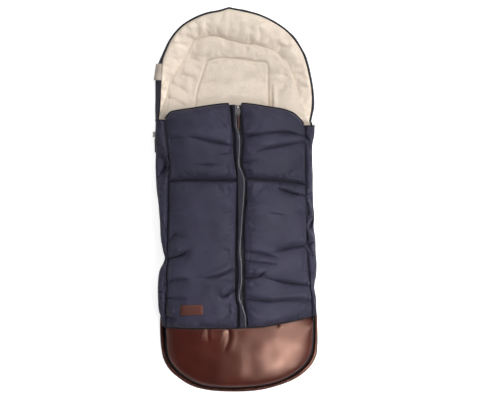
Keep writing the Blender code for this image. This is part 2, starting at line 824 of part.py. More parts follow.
def crease_depth(x, y, lines):
    """How far the creases, each a line between two (x, y) points, draw the surface in."""
    total = 0.0
    for start, end, depth, wide in lines:
        along = end - start
        share = max(0.0, min(1.0, (Vector((x, y)) - start).dot(along) / along.length_squared))
        away = (Vector((x, y)) - start - along * share).length
        total += depth * math.exp(-((away / wide) ** 2))
    return total


def panel_end_y(part, x):
    """Lower and upper end of a panel at x."""
    if part == "upper":
        return CROSS_SEAM_Y + GAP / 2, neck_y(x)
    return TOE_SEAM_Y + PIPING_RADIUS + GAP, CROSS_SEAM_Y - GAP / 2


def panel_top_z(side, part, s, t, lines=()):
    """Top of a padded panel, which swells between its sewn edges."""
    edge = under_z(s) + PANEL_EDGE - (PANEL_EDGE - PANEL_ZIP_EDGE) * s
    along = LOWER_ROUND if part == "lower" else UPPER_ROUND
    swell = (1 - abs(2 * s - 1) ** PANEL_ROUND) * (1 - abs(2 * t - 1) ** along)
    swell *= HINGE_SWELL + (1 - HINGE_SWELL) * smooth_step(0.0, HINGE_SOFT, s)
    z = edge + PANEL_CROWN * swell
    x = flap_x(side, s)
    low, high = panel_end_y(part, x)
    return z - crease_depth(x, low + (high - low) * t, lines) * min(1.0, CREASE_FADE * swell)


def make_panel(mats, side, part):
    side_name = "left" if side < 0 else "right"

    def spot(pair):
        x = flap_x(side, pair[0])
        low, high = panel_end_y(part, x)
        return Vector((x, low + (high - low) * pair[1]))

    lines = [(spot(a), spot(b), depth, wide) for a, b, depth, wide in CREASES[side_name, part]]
    rows = eased(0.0, 1.0, 21 if part == "lower" else 13)
    columns = eased(0.0, 1.0, 12)

    def place(t, s, z):
        x = flap_x(side, s)
        low, high = panel_end_y(part, x)
        return (x, low + (high - low) * t, z)

    relief(
        f"panel_{side_name}_{part}",
        mats["navy"],
        rows,
        columns,
        lambda t, s: place(t, s, panel_top_z(side, part, s, t, lines)),
        lambda t, s: place(t, s, under_z(s)),
    )


def make_flap_lining(mats, side):
    """Cream lining under both panels of a flap, stopping short of the zip tape."""
    side_name = "left" if side < 0 else "right"
    wide = abs(flap_x(side, 1.0) - flap_x(side, 0.0))
    last = 1.0 - (TAPE_UNDER + 2 * GAP) / wide
    rows = [0.0, 0.5, 0.8, 0.93, 1.0]

    def place(t, s, z):
        x = flap_x(side, s)
        low, high = panel_end_y("lower", x)[0], neck_y(x)
        return (x, low + (high - low) * t, z)

    relief(
        f"flap_lining_{side_name}",
        mats["cream"],
        rows,
        spread(0.0, last, 10),
        lambda t, s: place(t, s, under_z(s) - 2 * GAP),
        lambda t, s: place(t, s, under_z(s) - 2 * GAP - FLAP_LINING_THICK),
    )


def tooth_outline(side):
    """One half of the chain seen from above: a spine with a tooth every pitch."""
    root, back = TOOTH_ROOT, TOOTH_ROOT + CHAIN_SPINE
    outline = [(back, CHAIN_TOP_Y), (back, CHAIN_BOTTOM_Y), (root, CHAIN_BOTTOM_Y)]
    count = int((CHAIN_TOP_Y - CHAIN_BOTTOM_Y) / TOOTH_PITCH) - 1
    start = CHAIN_BOTTOM_Y + TOOTH_PITCH * (0.5 if side < 0 else 1.0)
    for i in range(count):
        y = start + i * TOOTH_PITCH
        outline += [
            (root, y - TOOTH_NECK / 2),
            (-TOOTH_REACH, y - TOOTH_HEAD / 2),
            (-TOOTH_REACH, y + TOOTH_HEAD / 2),
            (root, y + TOOTH_NECK / 2),
        ]
    outline.append((root, CHAIN_TOP_Y))
    return [(ZIP_X + side * x, y) for x, y in outline]


def make_centre_zip(mats):
    """Two toothed halves in mesh, their tapes, the stops, and the placket beside them."""
    low = TAPE_Z + TAPE_THICK / 2 - CHAIN_THICK / 2
    tape_end_y = NECK_Y - TAPE_FROM_NECK
    inner = TOOTH_ROOT + CHAIN_SPINE + GAP
    for side, name in ((-1, "left"), (1, "right")):
        prism(f"zip_chain_{name}", mats["dark"], tooth_outline(side), low, low + CHAIN_THICK)
        xs = sorted((ZIP_X + side * inner, flap_x(side, 1.0) + side * TAPE_UNDER))
        box(
            f"zip_tape_{name}",
            mats["dark"],
            (xs[0], CHAIN_BOTTOM_Y - TAPE_BELOW_STOP, TAPE_Z),
            (xs[1], tape_end_y, TAPE_Z + TAPE_THICK),
        )
        xs = sorted((ZIP_X + side * GAP, ZIP_X + side * (inner - GAP)))
        box(
            f"top_stop_{name}",
            mats["steel"],
            (xs[0], CHAIN_TOP_Y + GAP, low),
            (xs[1], CHAIN_TOP_Y + GAP + STOP_LONG, low + CHAIN_THICK + STOP_PROUD),
        )
    reach = TOOTH_ROOT + CHAIN_SPINE
    box(
        "zip_bottom_stop",
        mats["steel"],
        (ZIP_X - reach, CHAIN_BOTTOM_Y - GAP - STOP_LONG, low),
        (ZIP_X + reach, CHAIN_BOTTOM_Y - GAP, low + CHAIN_THICK + STOP_PROUD),
    )
    base = PANEL_INNER_Z
    edge_y = TOE_SEAM_Y + PIPING_RADIUS + GAP
    box(
        "placket",
        mats["navy"],
        (PLACKET_LEFT_X, edge_y, base),
        (PLACKET_RIGHT_X, NECK_Y - PLACKET_FROM_NECK, base + PLACKET_THICK),
    )
    x = PLACKET_RIGHT_X + GAP + PLACKET_PIPING_RADIUS
    z = base + PLACKET_PIPING_RADIUS + GAP
    short = PLACKET_PIPING_SHORT
    tube(
        "placket_piping",
        mats["piping"],
        [(x, y, z) for y in spread(edge_y + short, NECK_Y - PLACKET_FROM_NECK - short, 3)],
        PLACKET_PIPING_RADIUS,
    )


def slider_body(name, mat):
    """A slider in its own axes: +X across, +Y along the zip, +Z away from it, with its foot on z 0.

    The plate bridges the chain and its two flanges reach down beside it. The lug carries the puller's pin.
    """
    half = TOOTH_ROOT + CHAIN_SPINE + 2 * GAP + SLIDER_FLANGE
    depth = CHAIN_THICK / 2 - TAPE_THICK / 2
    long = SLIDER_LONG / 2
    nose, tip = long * SLIDER_NOSE, half * SLIDER_NOSE
    outline = [(-half, -long), (half, -long), (half, nose), (tip, long), (-tip, long), (-half, nose)]
    body = prism(name, mat, outline, 0.0, depth + SLIDER_PLATE)
    clear = half - SLIDER_FLANGE
    channel_box = box(f"{name}_channel", mat, (-clear, -2 * long, -CUT_PAST), (clear, 2 * long, depth))
    cut(body, channel_box, "channel")
    for k, x in enumerate((-LUG_X, LUG_X)):
        ear = box(
            f"{name}_ear_{k}",
            mat,
            (x - LUG_THICK / 2, -LUG_LONG / 2, depth + SLIDER_PLATE / 2),
            (x + LUG_THICK / 2, LUG_LONG / 2, depth + SLIDER_PLATE + LUG_HIGH),
        )
        join(body, ear, f"ear {k}")
    return body, depth + SLIDER_PLATE + PIN_RISE


def bail(name, mat):
    """A flat wire loop from its pivot at the origin towards -Y, with a cross bar between the ears."""
    half = BAIL_WIDE / 2
    wire = BAIL_WIRE
    bar = LUG_X - LUG_THICK / 2 - GAP
    outline = [
        (-bar, BAIL_PIN_BACK),
        (bar, BAIL_PIN_BACK),
        (bar, -BAIL_NECK),
        (half, -BAIL_SHOULDER),
        (half, -BAIL_LONG),
        (-half, -BAIL_LONG),
        (-half, -BAIL_SHOULDER),
        (-bar, -BAIL_NECK),
    ]
    loop = prism(name, mat, outline, -wire / 2, wire / 2)
    low, high = (-half + wire, -BAIL_LONG + wire, -CUT_PAST), (half - wire, -BAIL_EYE, CUT_PAST)
    hole = box(f"{name}_hole", mat, low, high)
    cut(loop, hole, "hole")
    return loop


def strap(name, mat):
    """Leather strip folded through the bail's lower bar."""
    start = -BAIL_LONG + BAIL_WIRE + GAP
    slot_low, slot_high = -BAIL_LONG - GAP, -BAIL_LONG + BAIL_WIRE + GAP
    wide = STRAP_WIDE / 2
    end = start - STRAP_LONG
    tip_x, tip_y = wide * STRAP_TIP_WIDE, end + wide * STRAP_TIP_LONG
    outline = [(wide, slot_high + STRAP_FOLD), (-wide, slot_high + STRAP_FOLD), (-wide, end + wide)]
    outline += [(-tip_x, tip_y), (0.0, end), (tip_x, tip_y), (wide, end + wide)]
    piece = prism(name, mat, outline, -STRAP_THICK, STRAP_THICK)
    half = BAIL_WIDE / 2 + GAP
    slot = box(
        f"{name}_slot",
        mat,
        (-CUT_PAST, slot_low, -BAIL_WIRE / 2 - GAP),
        (CUT_PAST, slot_high, BAIL_WIRE / 2 + GAP),
    )
    cut(piece, slot, "slot")
    for k, sign in enumerate((-1, 1)):
        inner = half - BAIL_WIRE - 2 * GAP
        low, high = sorted((sign * inner, sign * CUT_PAST))
        leg = box(f"{name}_leg_{k}", mat, (low, slot_low, -CUT_PAST), (high, CUT_PAST, CUT_PAST))
        cut(piece, leg, f"leg {k}")
    return piece


def place_slider(mats, name, matrix):
    """Slider, bail and strap on one frame: a parent empty at the pivot carries the pulling parts."""
    body, pivot_z = slider_body(f"{name}_slider", mats["steel"])
    frame = bpy.data.objects.new(f"{name}_slide_frame", None)
    pivot = bpy.data.objects.new(f"{name}_puller_pivot", None)
    for empty in (frame, pivot):
        bpy.context.scene.collection.objects.link(empty)
    frame.matrix_world = matrix
    pivot.parent = frame
    pivot.location = (0.0, 0.0, pivot_z)
    body.parent = frame
    for piece in (bail(f"{name}_puller", mats["steel"]), strap(f"{name}_puller_strap", mats["brown"])):
        piece.parent = pivot
    for old in list(bpy.data.objects):
        if old.hide_render and old.parent is None and old.name.startswith(f"{name}_slider_"):
            old.parent = frame
        elif old.hide_render and old.parent is None and old.name.startswith(f"{name}_puller"):
            old.parent = pivot


def make_sliders(mats):
    top = TAPE_Z + TAPE_THICK + GAP
    y = CHAIN_TOP_Y - GAP - SLIDER_LONG / 2
    place_slider(mats, "centre", Matrix.Translation((ZIP_X, y, top)))
    turned = Matrix(((0, 0, -1, 0), (0, 1, 0, 0), (1, 0, 0, 0), (0, 0, 0, 1)))
    x = -(HALF - SIDE_ZIP_INSET + SIDE_COIL_WIDE / 2 + GAP)
    at_side = Matrix.Translation((x, SIDE_SLIDER_Y, SIDE_ZIP_MID_Z + GAP / 2)) @ turned
    place_slider(mats, "side", at_side)


def make_patch(mats):
    """Blank leather patch that follows the lower left panel."""
    low_y, high_y = panel_end_y("lower", PATCH_X)

    def place(v, u, lift):
        x = PATCH_X + u * PATCH_WIDE / 2
        y = PATCH_Y + v * PATCH_HIGH / 2
        s = (x - flap_x(-1, 0.0)) / (flap_x(-1, 1.0) - flap_x(-1, 0.0))
        t = (y - low_y) / (high_y - low_y)
        return (x, y, panel_top_z(-1, "lower", s, t) + lift)

    relief(
        "leather_patch",
        mats["patch"],
        spread(-1, 1, 5),
        spread(-1, 1, 7),
        lambda v, u: place(v, u, PATCH_LIFT + PATCH_THICK),
        lambda v, u: place(v, u, PATCH_LIFT),
    )


def main():
    clear_scene()
    mats = {
        "navy": material("navy fabric", NAVY, 0.7),
        "cream": material("cream lining", CREAM, 0.8),
        "brown": material("brown leather", BROWN, 0.32),
        "patch": material("patch leather", PATCH_BROWN, 0.55),
        "tab": material("woven tab", TAB_BEIGE, 0.8),
        "dark": material("zip fabric", DARK, 0.6),
        "piping": material("piping", PIPING_GREY, 0.5),
        "rubber": material("rubber dots", RUBBER, 0.7),
        "steel": material("zip metal", STEEL, 0.3, 1.0),
    }
    make_back_shell(mats)
    make_back_lining(mats)
    make_slot_welts(mats)
    make_antislip_panel(mats)
    make_foot_sole(mats)
    make_side_zip(mats)
    make_hood(mats)
    make_collar_bindings(mats)
    make_gussets(mats)
    make_toe_box(mats)
    make_toe_piping(mats)
    for side in (-1, 1):
        for part in ("upper", "lower"):
            make_panel(mats, side, part)
        make_flap_lining(mats, side)
    make_centre_zip(mats)
    make_sliders(mats)
    make_patch(mats)


main()
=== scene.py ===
"""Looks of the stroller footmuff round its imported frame, which lies on its back.

+Y is the head end, +Z is up, metres. The pieces are nested from the outside in: navy shell and walls,
cream lining and head border, then the front cover with its flaps, and the leather toe.
"""

import math

import bmesh
import bpy
import numpy as np
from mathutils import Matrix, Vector
from mathutils.bvhtree import BVHTree


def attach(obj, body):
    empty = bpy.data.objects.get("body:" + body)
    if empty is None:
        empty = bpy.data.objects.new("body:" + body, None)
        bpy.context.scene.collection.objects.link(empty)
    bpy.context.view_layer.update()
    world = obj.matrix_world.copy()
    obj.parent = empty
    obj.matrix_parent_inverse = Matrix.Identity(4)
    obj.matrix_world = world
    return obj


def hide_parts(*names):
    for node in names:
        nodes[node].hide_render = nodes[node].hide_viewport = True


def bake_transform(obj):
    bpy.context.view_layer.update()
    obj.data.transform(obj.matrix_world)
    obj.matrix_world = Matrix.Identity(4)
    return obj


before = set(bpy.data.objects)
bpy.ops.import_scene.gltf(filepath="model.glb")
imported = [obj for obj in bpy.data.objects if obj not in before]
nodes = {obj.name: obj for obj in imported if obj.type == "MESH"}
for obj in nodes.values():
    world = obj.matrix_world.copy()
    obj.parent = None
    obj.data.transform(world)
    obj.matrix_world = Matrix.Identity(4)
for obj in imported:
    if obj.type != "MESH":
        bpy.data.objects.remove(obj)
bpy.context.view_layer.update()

# Heights and places that the pieces share
LINING_Z = 0.0056
COVER_Z = 0.0200
DOME_Z = 0.0201
EDGE_Z = 0.0385
TAPE_Z = 0.0880
ZIP_X = 0.0085
HALF = 0.2075

# Where the back's grid is regular, so that its lines meet the harness slots: up to this x, and from y to y
INNER_X = 0.150
SLOTTED = (-0.30, 0.185)

# Hinge lines in y; the fold strips are split at the upper one
FLAP_BEND = (-0.333, 0.050)

# How far the lining's edge lies inside the widest line and the toe's outline
LINING_IN, LINING_TOE_IN = 0.0095, 0.0215

# The toe seam over the dome's foot: the boxy part and the arched part of its height
DOME_RISE, DOME_CROWN = 0.0445, 0.0300

# A flap's cross seam as a share of its length, the rest above it, and its thickness at a seam
CROSS_AT, PAST_CROSS = 0.66, 0.34
PAD_LIFT = 0.0038

# Simulated stuffing
PRESSURE = 3.5
SIM_FRAMES = 20

# Contours seen from above, (x, y), from the left over the top to the right where nothing else is said
HOOD_FOOT = [
    (-0.2080, 0.2050), (-0.2078, 0.2350), (-0.2072, 0.2640), (-0.2066, 0.2955), (-0.2050, 0.3230),
    (-0.1990, 0.3560), (-0.1885, 0.3800), (-0.1750, 0.4060), (-0.1571, 0.4350), (-0.1350, 0.4575),
    (-0.1050, 0.4765), (-0.0686, 0.4890), (-0.0350, 0.4965), (-0.0160, 0.5010), (-0.0090, 0.5015),
    (0.0000, 0.4990), (0.0275, 0.4935),
    (0.0622, 0.4850), (0.0900, 0.4730), (0.1180, 0.4570), (0.1440, 0.4370), (0.1680, 0.4080),
    (0.1850, 0.3780), (0.1940, 0.3500), (0.2010, 0.3180), (0.2055, 0.2900), (0.2068, 0.2600),
    (0.2055, 0.2350), (0.2005, 0.2080), (0.1965, 0.1900),
]
HOOD_EDGE = [
    (-0.2000, 0.2090), (-0.1971, 0.2303), (-0.1945, 0.2559), (-0.1930, 0.2842), (-0.1915, 0.3154),
    (-0.1905, 0.3410), (-0.1866, 0.3683), (-0.1756, 0.3960), (-0.1606, 0.4240), (-0.1420, 0.4460),
    (-0.1222, 0.4618), (-0.0943, 0.4762), (-0.0677, 0.4858),
    (-0.0340, 0.4920), (-0.0160, 0.4972), (-0.0090, 0.4985), (0.0000, 0.4962),
    (0.0270, 0.4905), (0.0610, 0.4815), (0.0890, 0.4695), (0.1165, 0.4535), (0.1410, 0.4345),
    (0.1640, 0.4070), (0.1805, 0.3770), (0.1895, 0.3490), (0.1965, 0.3170), (0.2015, 0.2880),
    (0.2030, 0.2600), (0.2010, 0.2300), (0.1960, 0.2060), (0.1915, 0.1900),
]
BORDER_INNER = [
    (-0.1990, 0.2120), (-0.1814, 0.2531), (-0.1674, 0.3026), (-0.1512, 0.3285), (-0.1242, 0.3726),
    (-0.1105, 0.4020), (-0.1000, 0.4160), (-0.0613, 0.4250), (-0.0352, 0.4218), (-0.0020, 0.4110),
    (0.0298, 0.4038), (0.0494, 0.4030), (0.1015, 0.3841), (0.1349, 0.3494), (0.1552, 0.3097),
    (0.1640, 0.2703), (0.1750, 0.2300), (0.1940, 0.1935),
]
CENTRE_PAD = [
    (-0.1030, 0.1900), (-0.1028, 0.2516), (-0.0998, 0.2751), (-0.0927, 0.3012), (-0.0831, 0.3273),
    (-0.0735, 0.3560), (-0.0600, 0.3640), (-0.0351, 0.3696), (0.0172, 0.3647), (0.0538, 0.3588),
    (0.0790, 0.3560), (0.0868, 0.3470), (0.0876, 0.3109), (0.0882, 0.2453), (0.0886, 0.1900),
]
NECK = [
    (-0.1833, 0.2060), (-0.1780, 0.2150), (-0.1700, 0.2245), (-0.1585, 0.2305), (-0.1073, 0.2370),
    (-0.0618, 0.2430), (-0.0248, 0.2465), (0.0050, 0.2450), (0.0266, 0.2462), (0.0634, 0.2407),
    (0.1003, 0.2342), (0.1256, 0.2295), (0.1500, 0.2200), (0.1650, 0.2075), (0.1810, 0.1870),
]
CROSS_SEAM = [
    (-0.1850, 0.0495), (-0.1500, 0.0530), (-0.1327, 0.0542), (-0.0600, 0.0520), (0.0009, 0.0510),
    (0.0246, 0.0539), (0.0900, 0.0490), (0.1423, 0.0426), (0.1850, 0.0340),
]
TOE_SEAM = [
    (-0.1935, -0.3262), (-0.1267, -0.3297), (-0.0559, -0.3297), (-0.0098, -0.3303), (0.0185, -0.3297),
    (0.0613, -0.3274), (0.0984, -0.3223), (0.1383, -0.3160), (0.1725, -0.3092), (0.1945, -0.3041),
]
DOME_FOOT = [
    (-0.1905, -0.3250), (-0.1908, -0.3600), (-0.1900, -0.3809), (-0.1848, -0.4096), (-0.1680, -0.4353),
    (-0.1401, -0.4587), (-0.1063, -0.4763), (-0.0695, -0.4841), (-0.0127, -0.4867), (0.0500, -0.4834),
    (0.1013, -0.4731), (0.1445, -0.4526), (0.1730, -0.4275), (0.1879, -0.3994), (0.1928, -0.3594),
    (0.1938, -0.3030),
]
RIM_OUTER = [
    (-0.2052, -0.3000), (-0.2058, -0.3180), (-0.2058, -0.3500), (-0.2040, -0.3807), (-0.1970, -0.4150),
    (-0.1768, -0.4467), (-0.1347, -0.4787), (-0.0930, -0.4935), (-0.0355, -0.5000), (0.0353, -0.4995),
    (0.0924, -0.4890), (0.1441, -0.4697), (0.1787, -0.4446), (0.1992, -0.4138), (0.2043, -0.3800),
    (0.2050, -0.3400), (0.2046, -0.3000),
]
# Widest line of each side, (y, x), from the head to the foot
SIDE_LEFT = [
    (0.2116, -0.2090), (0.1540, -0.2085), (0.1120, -0.2088), (0.0648, -0.2088), (0.0333, -0.2078),
    (-0.0034, -0.2045), (-0.0349, -0.2025), (-0.0664, -0.2005), (-0.0979, -0.1984), (-0.1295, -0.1935),
    (-0.1466, -0.1890), (-0.1609, -0.1935), (-0.1765, -0.2025), (-0.1921, -0.2070), (-0.2156, -0.2090),
    (-0.2392, -0.2095), (-0.2707, -0.2085), (-0.2917, -0.2060), (-0.3180, -0.2043),
]
SIDE_RIGHT = [
    (0.1856, 0.2066), (0.1620, 0.2048), (0.1359, 0.2005), (0.0992, 0.1998), (0.0599, 0.2003),
    (-0.0109, 0.1996), (-0.0424, 0.2011), (-0.0738, 0.1992), (-0.1053, 0.2025), (-0.1368, 0.2046),
    (-0.1683, 0.2053), (-0.1997, 0.2047), (-0.2180, 0.2008), (-0.2337, 0.1990), (-0.2574, 0.2023),
    (-0.2810, 0.2032), (-0.3020, 0.2041), (-0.3180, 0.2043),
]
# Seams between gussets and flaps, (y, x)
GUSSET_SEAM_LEFT = [
    (0.2100, -0.1833), (0.1586, -0.1779), (0.1061, -0.1722), (0.0851, -0.1708), (0.0511, -0.1747),
    (0.0013, -0.1756), (-0.0773, -0.1784), (-0.1506, -0.1815), (-0.2083, -0.1847), (-0.2607, -0.1870),
    (-0.3290, -0.1895),
]
GUSSET_SEAM_RIGHT = [
    (0.1900, 0.1791), (0.1258, 0.1793), (0.0367, 0.1789), (-0.0053, 0.1795), (-0.0839, 0.1793),
    (-0.1626, 0.1805), (-0.2283, 0.1860), (-0.2677, 0.1890), (-0.3100, 0.1900),
]
# Where the top of each gusset breaks over to its side, (y, x)
RIDGE_LEFT = [
    (0.2100, -0.2030), (0.1700, -0.1990), (0.1300, -0.1880), (0.0900, -0.1745), (0.0600, -0.1840),
    (0.0300, -0.1960), (-0.0300, -0.1975), (-0.1000, -0.1925), (-0.1466, -0.1845), (-0.1750, -0.1920),
    (-0.2100, -0.2020), (-0.2700, -0.2010), (-0.3290, -0.1980),
]
RIDGE_RIGHT = [
    (0.1900, 0.2020), (0.1400, 0.1950), (0.0500, 0.1940), (0.0050, 0.1890), (-0.0400, 0.1950),
    (-0.0738, 0.1880), (-0.1100, 0.1960), (-0.1700, 0.1980), (-0.2200, 0.1940), (-0.2600, 0.1970),
    (-0.3100, 0.1985),
]
# Edges of the flaps beside the zip, and the placket's fold, (y, x)
FLAP_EDGE_LEFT = [
    (0.2480, -0.0138), (0.2394, -0.0133), (0.1751, -0.0085), (0.1187, -0.0066), (0.0609, 0.0008),
    (0.0043, 0.0000), (-0.1068, -0.0053), (-0.2247, -0.0085), (-0.2588, -0.0076), (-0.2793, -0.0034),
    (-0.3330, -0.0060),
]
FLAP_EDGE_RIGHT = [
    (0.2480, 0.0150), (0.2337, 0.0155), (0.1747, 0.0185), (0.1406, 0.0208), (0.0896, 0.0160),
    (0.0553, 0.0250), (0.0039, 0.0262), (-0.0670, 0.0180), (-0.1858, 0.0178), (-0.2145, 0.0160),
    (-0.2425, 0.0150), (-0.2854, 0.0178), (-0.3330, 0.0248),
]
FOLD_LINE = [
    (0.2440, 0.0015), (0.2100, 0.0020), (0.1880, 0.0027), (0.1700, 0.0082), (0.1472, 0.0101),
    (0.1150, 0.0082), (0.0896, 0.0067), (0.0693, 0.0147), (0.0448, 0.0197), (0.0040, 0.0174),
    (-0.0521, 0.0122), (-0.0850, 0.0098), (-0.1050, 0.0072), (-0.1340, 0.0056), (-0.1530, 0.0072),
    (-0.1720, 0.0090), (-0.1900, 0.0084), (-0.2130, 0.0080), (-0.2363, 0.0037), (-0.2539, 0.0020),
    (-0.2714, 0.0084), (-0.2887, 0.0133), (-0.2996, 0.0165), (-0.3290, 0.0175),
]

# Folds pressed into the cloth: points on each, depth and width
FOLDS_LEFT = [
    ([(-0.1359, 0.1657), (-0.0915, 0.157), (-0.0602, 0.1486), (0.0000, 0.1371)], 0.0032, 0.006),
    ([(-0.1215, 0.092), (-0.0796, 0.0899), (-0.0246, 0.0876)], 0.0016, 0.004),
    ([(-0.0477, 0.1143), (-0.0241, 0.1164), (0.0010, 0.1213)], 0.0018, 0.005),
    ([(-0.1713, 0.1612), (-0.1543, 0.1608), (-0.1281, 0.1603)], 0.0015, 0.005),
    ([(-0.1880, -0.1490), (-0.1713, -0.1472), (-0.1428, -0.1393), (-0.1169, -0.1241)], 0.0055, 0.007),
    ([(-0.1780, -0.1090), (-0.1704, -0.099), (-0.1589, -0.0879), (-0.139, -0.0867)], 0.0022, 0.005),
    ([(-0.1870, -0.2080), (-0.1506, -0.2037), (-0.1183, -0.2037)], 0.0032, 0.006),
    ([(-0.1100, -0.2025), (-0.0587, -0.1975), (-0.0030, -0.1796)], 0.0038, 0.006),
    ([(-0.054, -0.2547), (-0.0339, -0.2464), (-0.0010, -0.2269)], 0.0050, 0.006),
    ([(-0.1900, -0.2495), (-0.1515, -0.2548), (-0.1227, -0.2566)], 0.0022, 0.006),
    ([(-0.1900, -0.2980), (-0.1577, -0.3047)], 0.0028, 0.006),
]
FOLDS_RIGHT = [
    ([(0.0130, 0.1605), (0.0844, 0.1677), (0.1332, 0.1696), (0.1800, 0.1590)], 0.0032, 0.006),
    ([(0.0324, 0.1075), (0.0705, 0.1252), (0.1178, 0.1348), (0.1800, 0.1450)], 0.0034, 0.007),
    ([(0.0130, 0.0905), (0.0596, 0.1018)], 0.0022, 0.005),
    ([(0.0150, 0.0700), (0.0433, 0.0759)], 0.0016, 0.005),
    ([(0.0900, 0.0310), (0.1200, 0.0215), (0.1470, 0.0124), (0.1850, 0.0035)], 0.0046, 0.0055),
    ([(0.0753, -0.0369), (0.1292, -0.0437)], 0.0012, 0.005),
    ([(0.0800, -0.1398), (0.1361, -0.1274), (0.1989, -0.1157)], 0.0055, 0.008),
    ([(0.0130, -0.1325), (0.0817, -0.1463), (0.1243, -0.1555)], 0.0026, 0.006),
    ([(0.0130, -0.1590), (0.0701, -0.1658), (0.1096, -0.1691)], 0.0030, 0.006),
    ([(0.0120, -0.2020), (0.0466, -0.1994), (0.0760, -0.1845)], 0.0044, 0.006),
    ([(0.0600, -0.1980), (0.0806, -0.2058), (0.126, -0.2153), (0.1900, -0.2270)], 0.0044, 0.0055),
    ([(0.0110, -0.2556), (0.0764, -0.2629), (0.1105, -0.2609), (0.1980, -0.2624)], 0.0042, 0.006),
    ([(0.1423, -0.2735), (0.1900, -0.2665)], 0.0020, 0.005),
]
FOLDS_GUSSETS = [
    ([(0.1760, 0.0100), (0.1880, 0.0135), (0.2080, 0.0270)], 0.0045, 0.004),
    ([(0.1800, 0.0020), (0.1900, -0.0010), (0.2060, -0.0070)], 0.0035, 0.0035),
    ([(0.1830, -0.0100), (0.1840, -0.0250), (0.1850, -0.0420)], 0.0035, 0.004),
    ([(0.1990, -0.0500), (0.1900, -0.0650), (0.1850, -0.0820)], 0.0060, 0.006),
    ([(0.1800, -0.1200), (0.1950, -0.1130), (0.2100, -0.1110)], 0.0050, 0.0045),
    ([(0.1830, -0.1260), (0.1900, -0.1380), (0.1920, -0.1500)], 0.0030, 0.004),
    ([(0.1800, 0.1600), (0.1900, 0.1450), (0.1930, 0.1200)], 0.0030, 0.005),
    ([(-0.2060, 0.0600), (-0.1950, 0.0700), (-0.1800, 0.0900)], 0.0030, 0.005),
    ([(-0.2000, -0.1500), (-0.1880, -0.1530), (-0.1780, -0.1480)], 0.0060, 0.005),
    ([(-0.2050, -0.2350), (-0.1950, -0.2300), (-0.1880, -0.2100)], 0.0030, 0.004),
    ([(-0.2050, -0.0500), (-0.1930, -0.0600), (-0.1820, -0.0800)], 0.0025, 0.004),
]
# Pits beside the ridge of each gusset: place in y, length and depth
PITS = {
    "left": [(0.0880, 0.032, 0.017), (-0.1480, 0.020, 0.010), (0.1600, 0.020, 0.006)],
    "right": [
        (0.1450, 0.026, 0.015), (-0.0200, 0.020, 0.010), (-0.0720, 0.020, 0.014), (0.0300, 0.012, 0.006),
        (-0.1250, 0.018, 0.008),
    ],
}
FOLDS_TOE = [
    ([(-0.0795, -0.3240), (-0.0790, -0.3400), (-0.0803, -0.3680)], 0.0020, 0.0036),
    ([(-0.0880, -0.3290), (-0.0925, -0.3430), (-0.1040, -0.3640)], -0.0009, 0.0050),
    ([(-0.0272, -0.3250), (-0.0252, -0.3480), (-0.0290, -0.3680), (-0.0420, -0.3960)], 0.0026, 0.0050),
    ([(-0.0370, -0.3290), (-0.0440, -0.3480), (-0.0530, -0.3740)], -0.0007, 0.0065),
    ([(0.1010, -0.3160), (0.1000, -0.3250), (0.0992, -0.3360)], 0.0030, 0.0045),
]
FOLDS_BORDER = [
    ([(-0.1120, 0.4000), (-0.1010, 0.4200), (-0.0560, 0.4330), (-0.0250, 0.4350)], 0.0022, 0.008),
    ([(-0.1500, 0.3650), (-0.1350, 0.3700), (-0.1240, 0.3800)], 0.0030, 0.006),
    ([(0.1300, 0.4050), (0.1200, 0.3900), (0.1050, 0.3820)], 0.0026, 0.008),
    ([(0.0420, 0.4160), (0.0450, 0.4080), (0.0480, 0.4030)], 0.0040, 0.006),
]
FOLDS_LINING = [
    ([(0.0878, 0.3180), (0.0883, 0.2850), (0.0887, 0.2050)], 0.0040, 0.0028),
    ([(-0.1660, 0.3080), (-0.1330, 0.2880), (-0.1060, 0.2640)], 0.0030, 0.006),
    ([(-0.1500, 0.3350), (-0.1200, 0.3230), (-0.0930, 0.3180)], 0.0026, 0.006),
    ([(-0.1760, 0.2700), (-0.1450, 0.2560), (-0.1150, 0.2350)], 0.0028, 0.006),
    ([(-0.1200, 0.3780), (-0.1000, 0.3650), (-0.0800, 0.3560)], 0.0022, 0.006),
    ([(0.1480, 0.3180), (0.1250, 0.3230), (0.1000, 0.3250)], 0.0022, 0.006),
    ([(0.1560, 0.2820), (0.1350, 0.2900), (0.1100, 0.2870)], 0.0022, 0.006),
    ([(0.0962, 0.3200), (0.0964, 0.2850), (0.0970, 0.2050)], 0.0060, 0.0030),
    ([(0.0494, 0.4034), (0.0337, 0.4040)], 0.0050, 0.0045),
]


def run_along(line):
    """Length along a line of points up to each of them."""
    return np.concatenate([[0], np.cumsum(np.linalg.norm(np.diff(line, axis=0), axis=1))])


def at_lengths(line, places):
    """The points of a line at given lengths along it."""
    run = run_along(line)
    return np.stack([np.interp(places, run, line[:, k]) for k in range(line.shape[1])], 1)


def through(points, count):
    """count points, evenly spaced, on a smooth line through the given ones."""
    p = np.array(points, float)
    q = np.vstack([2 * p[0] - p[1], p, 2 * p[-1] - p[-2]])
    t = np.linspace(0, 1, 16, endpoint=False)[:, None]
    parts = []
    for a, b, c, d in zip(q[:-3], q[1:-2], q[2:-1], q[3:]):
        cubic = (3 * b - a - 3 * c + d) * t**3
        parts.append(0.5 * (2 * b + (c - a) * t + (2 * a - 5 * b + 4 * c - d) * t**2 + cubic))
    line = np.vstack([*parts, p[-1:]])
    return at_lengths(line, np.linspace(0, run_along(line)[-1], count))


def reading(points):
    """A smooth function through (place, value) points, held at its ends."""
    line = through(points, 400)
    line = line[np.argsort(line[:, 0], kind="stable")]
    return lambda v: np.interp(v, line[:, 0], line[:, 1])


def normals(line):
    """Unit vectors square to a line of (x, y)."""
    step = np.gradient(line, axis=0)
    return np.column_stack([step[:, 1], -step[:, 0]]) / np.linalg.norm(step, axis=1)[:, None]


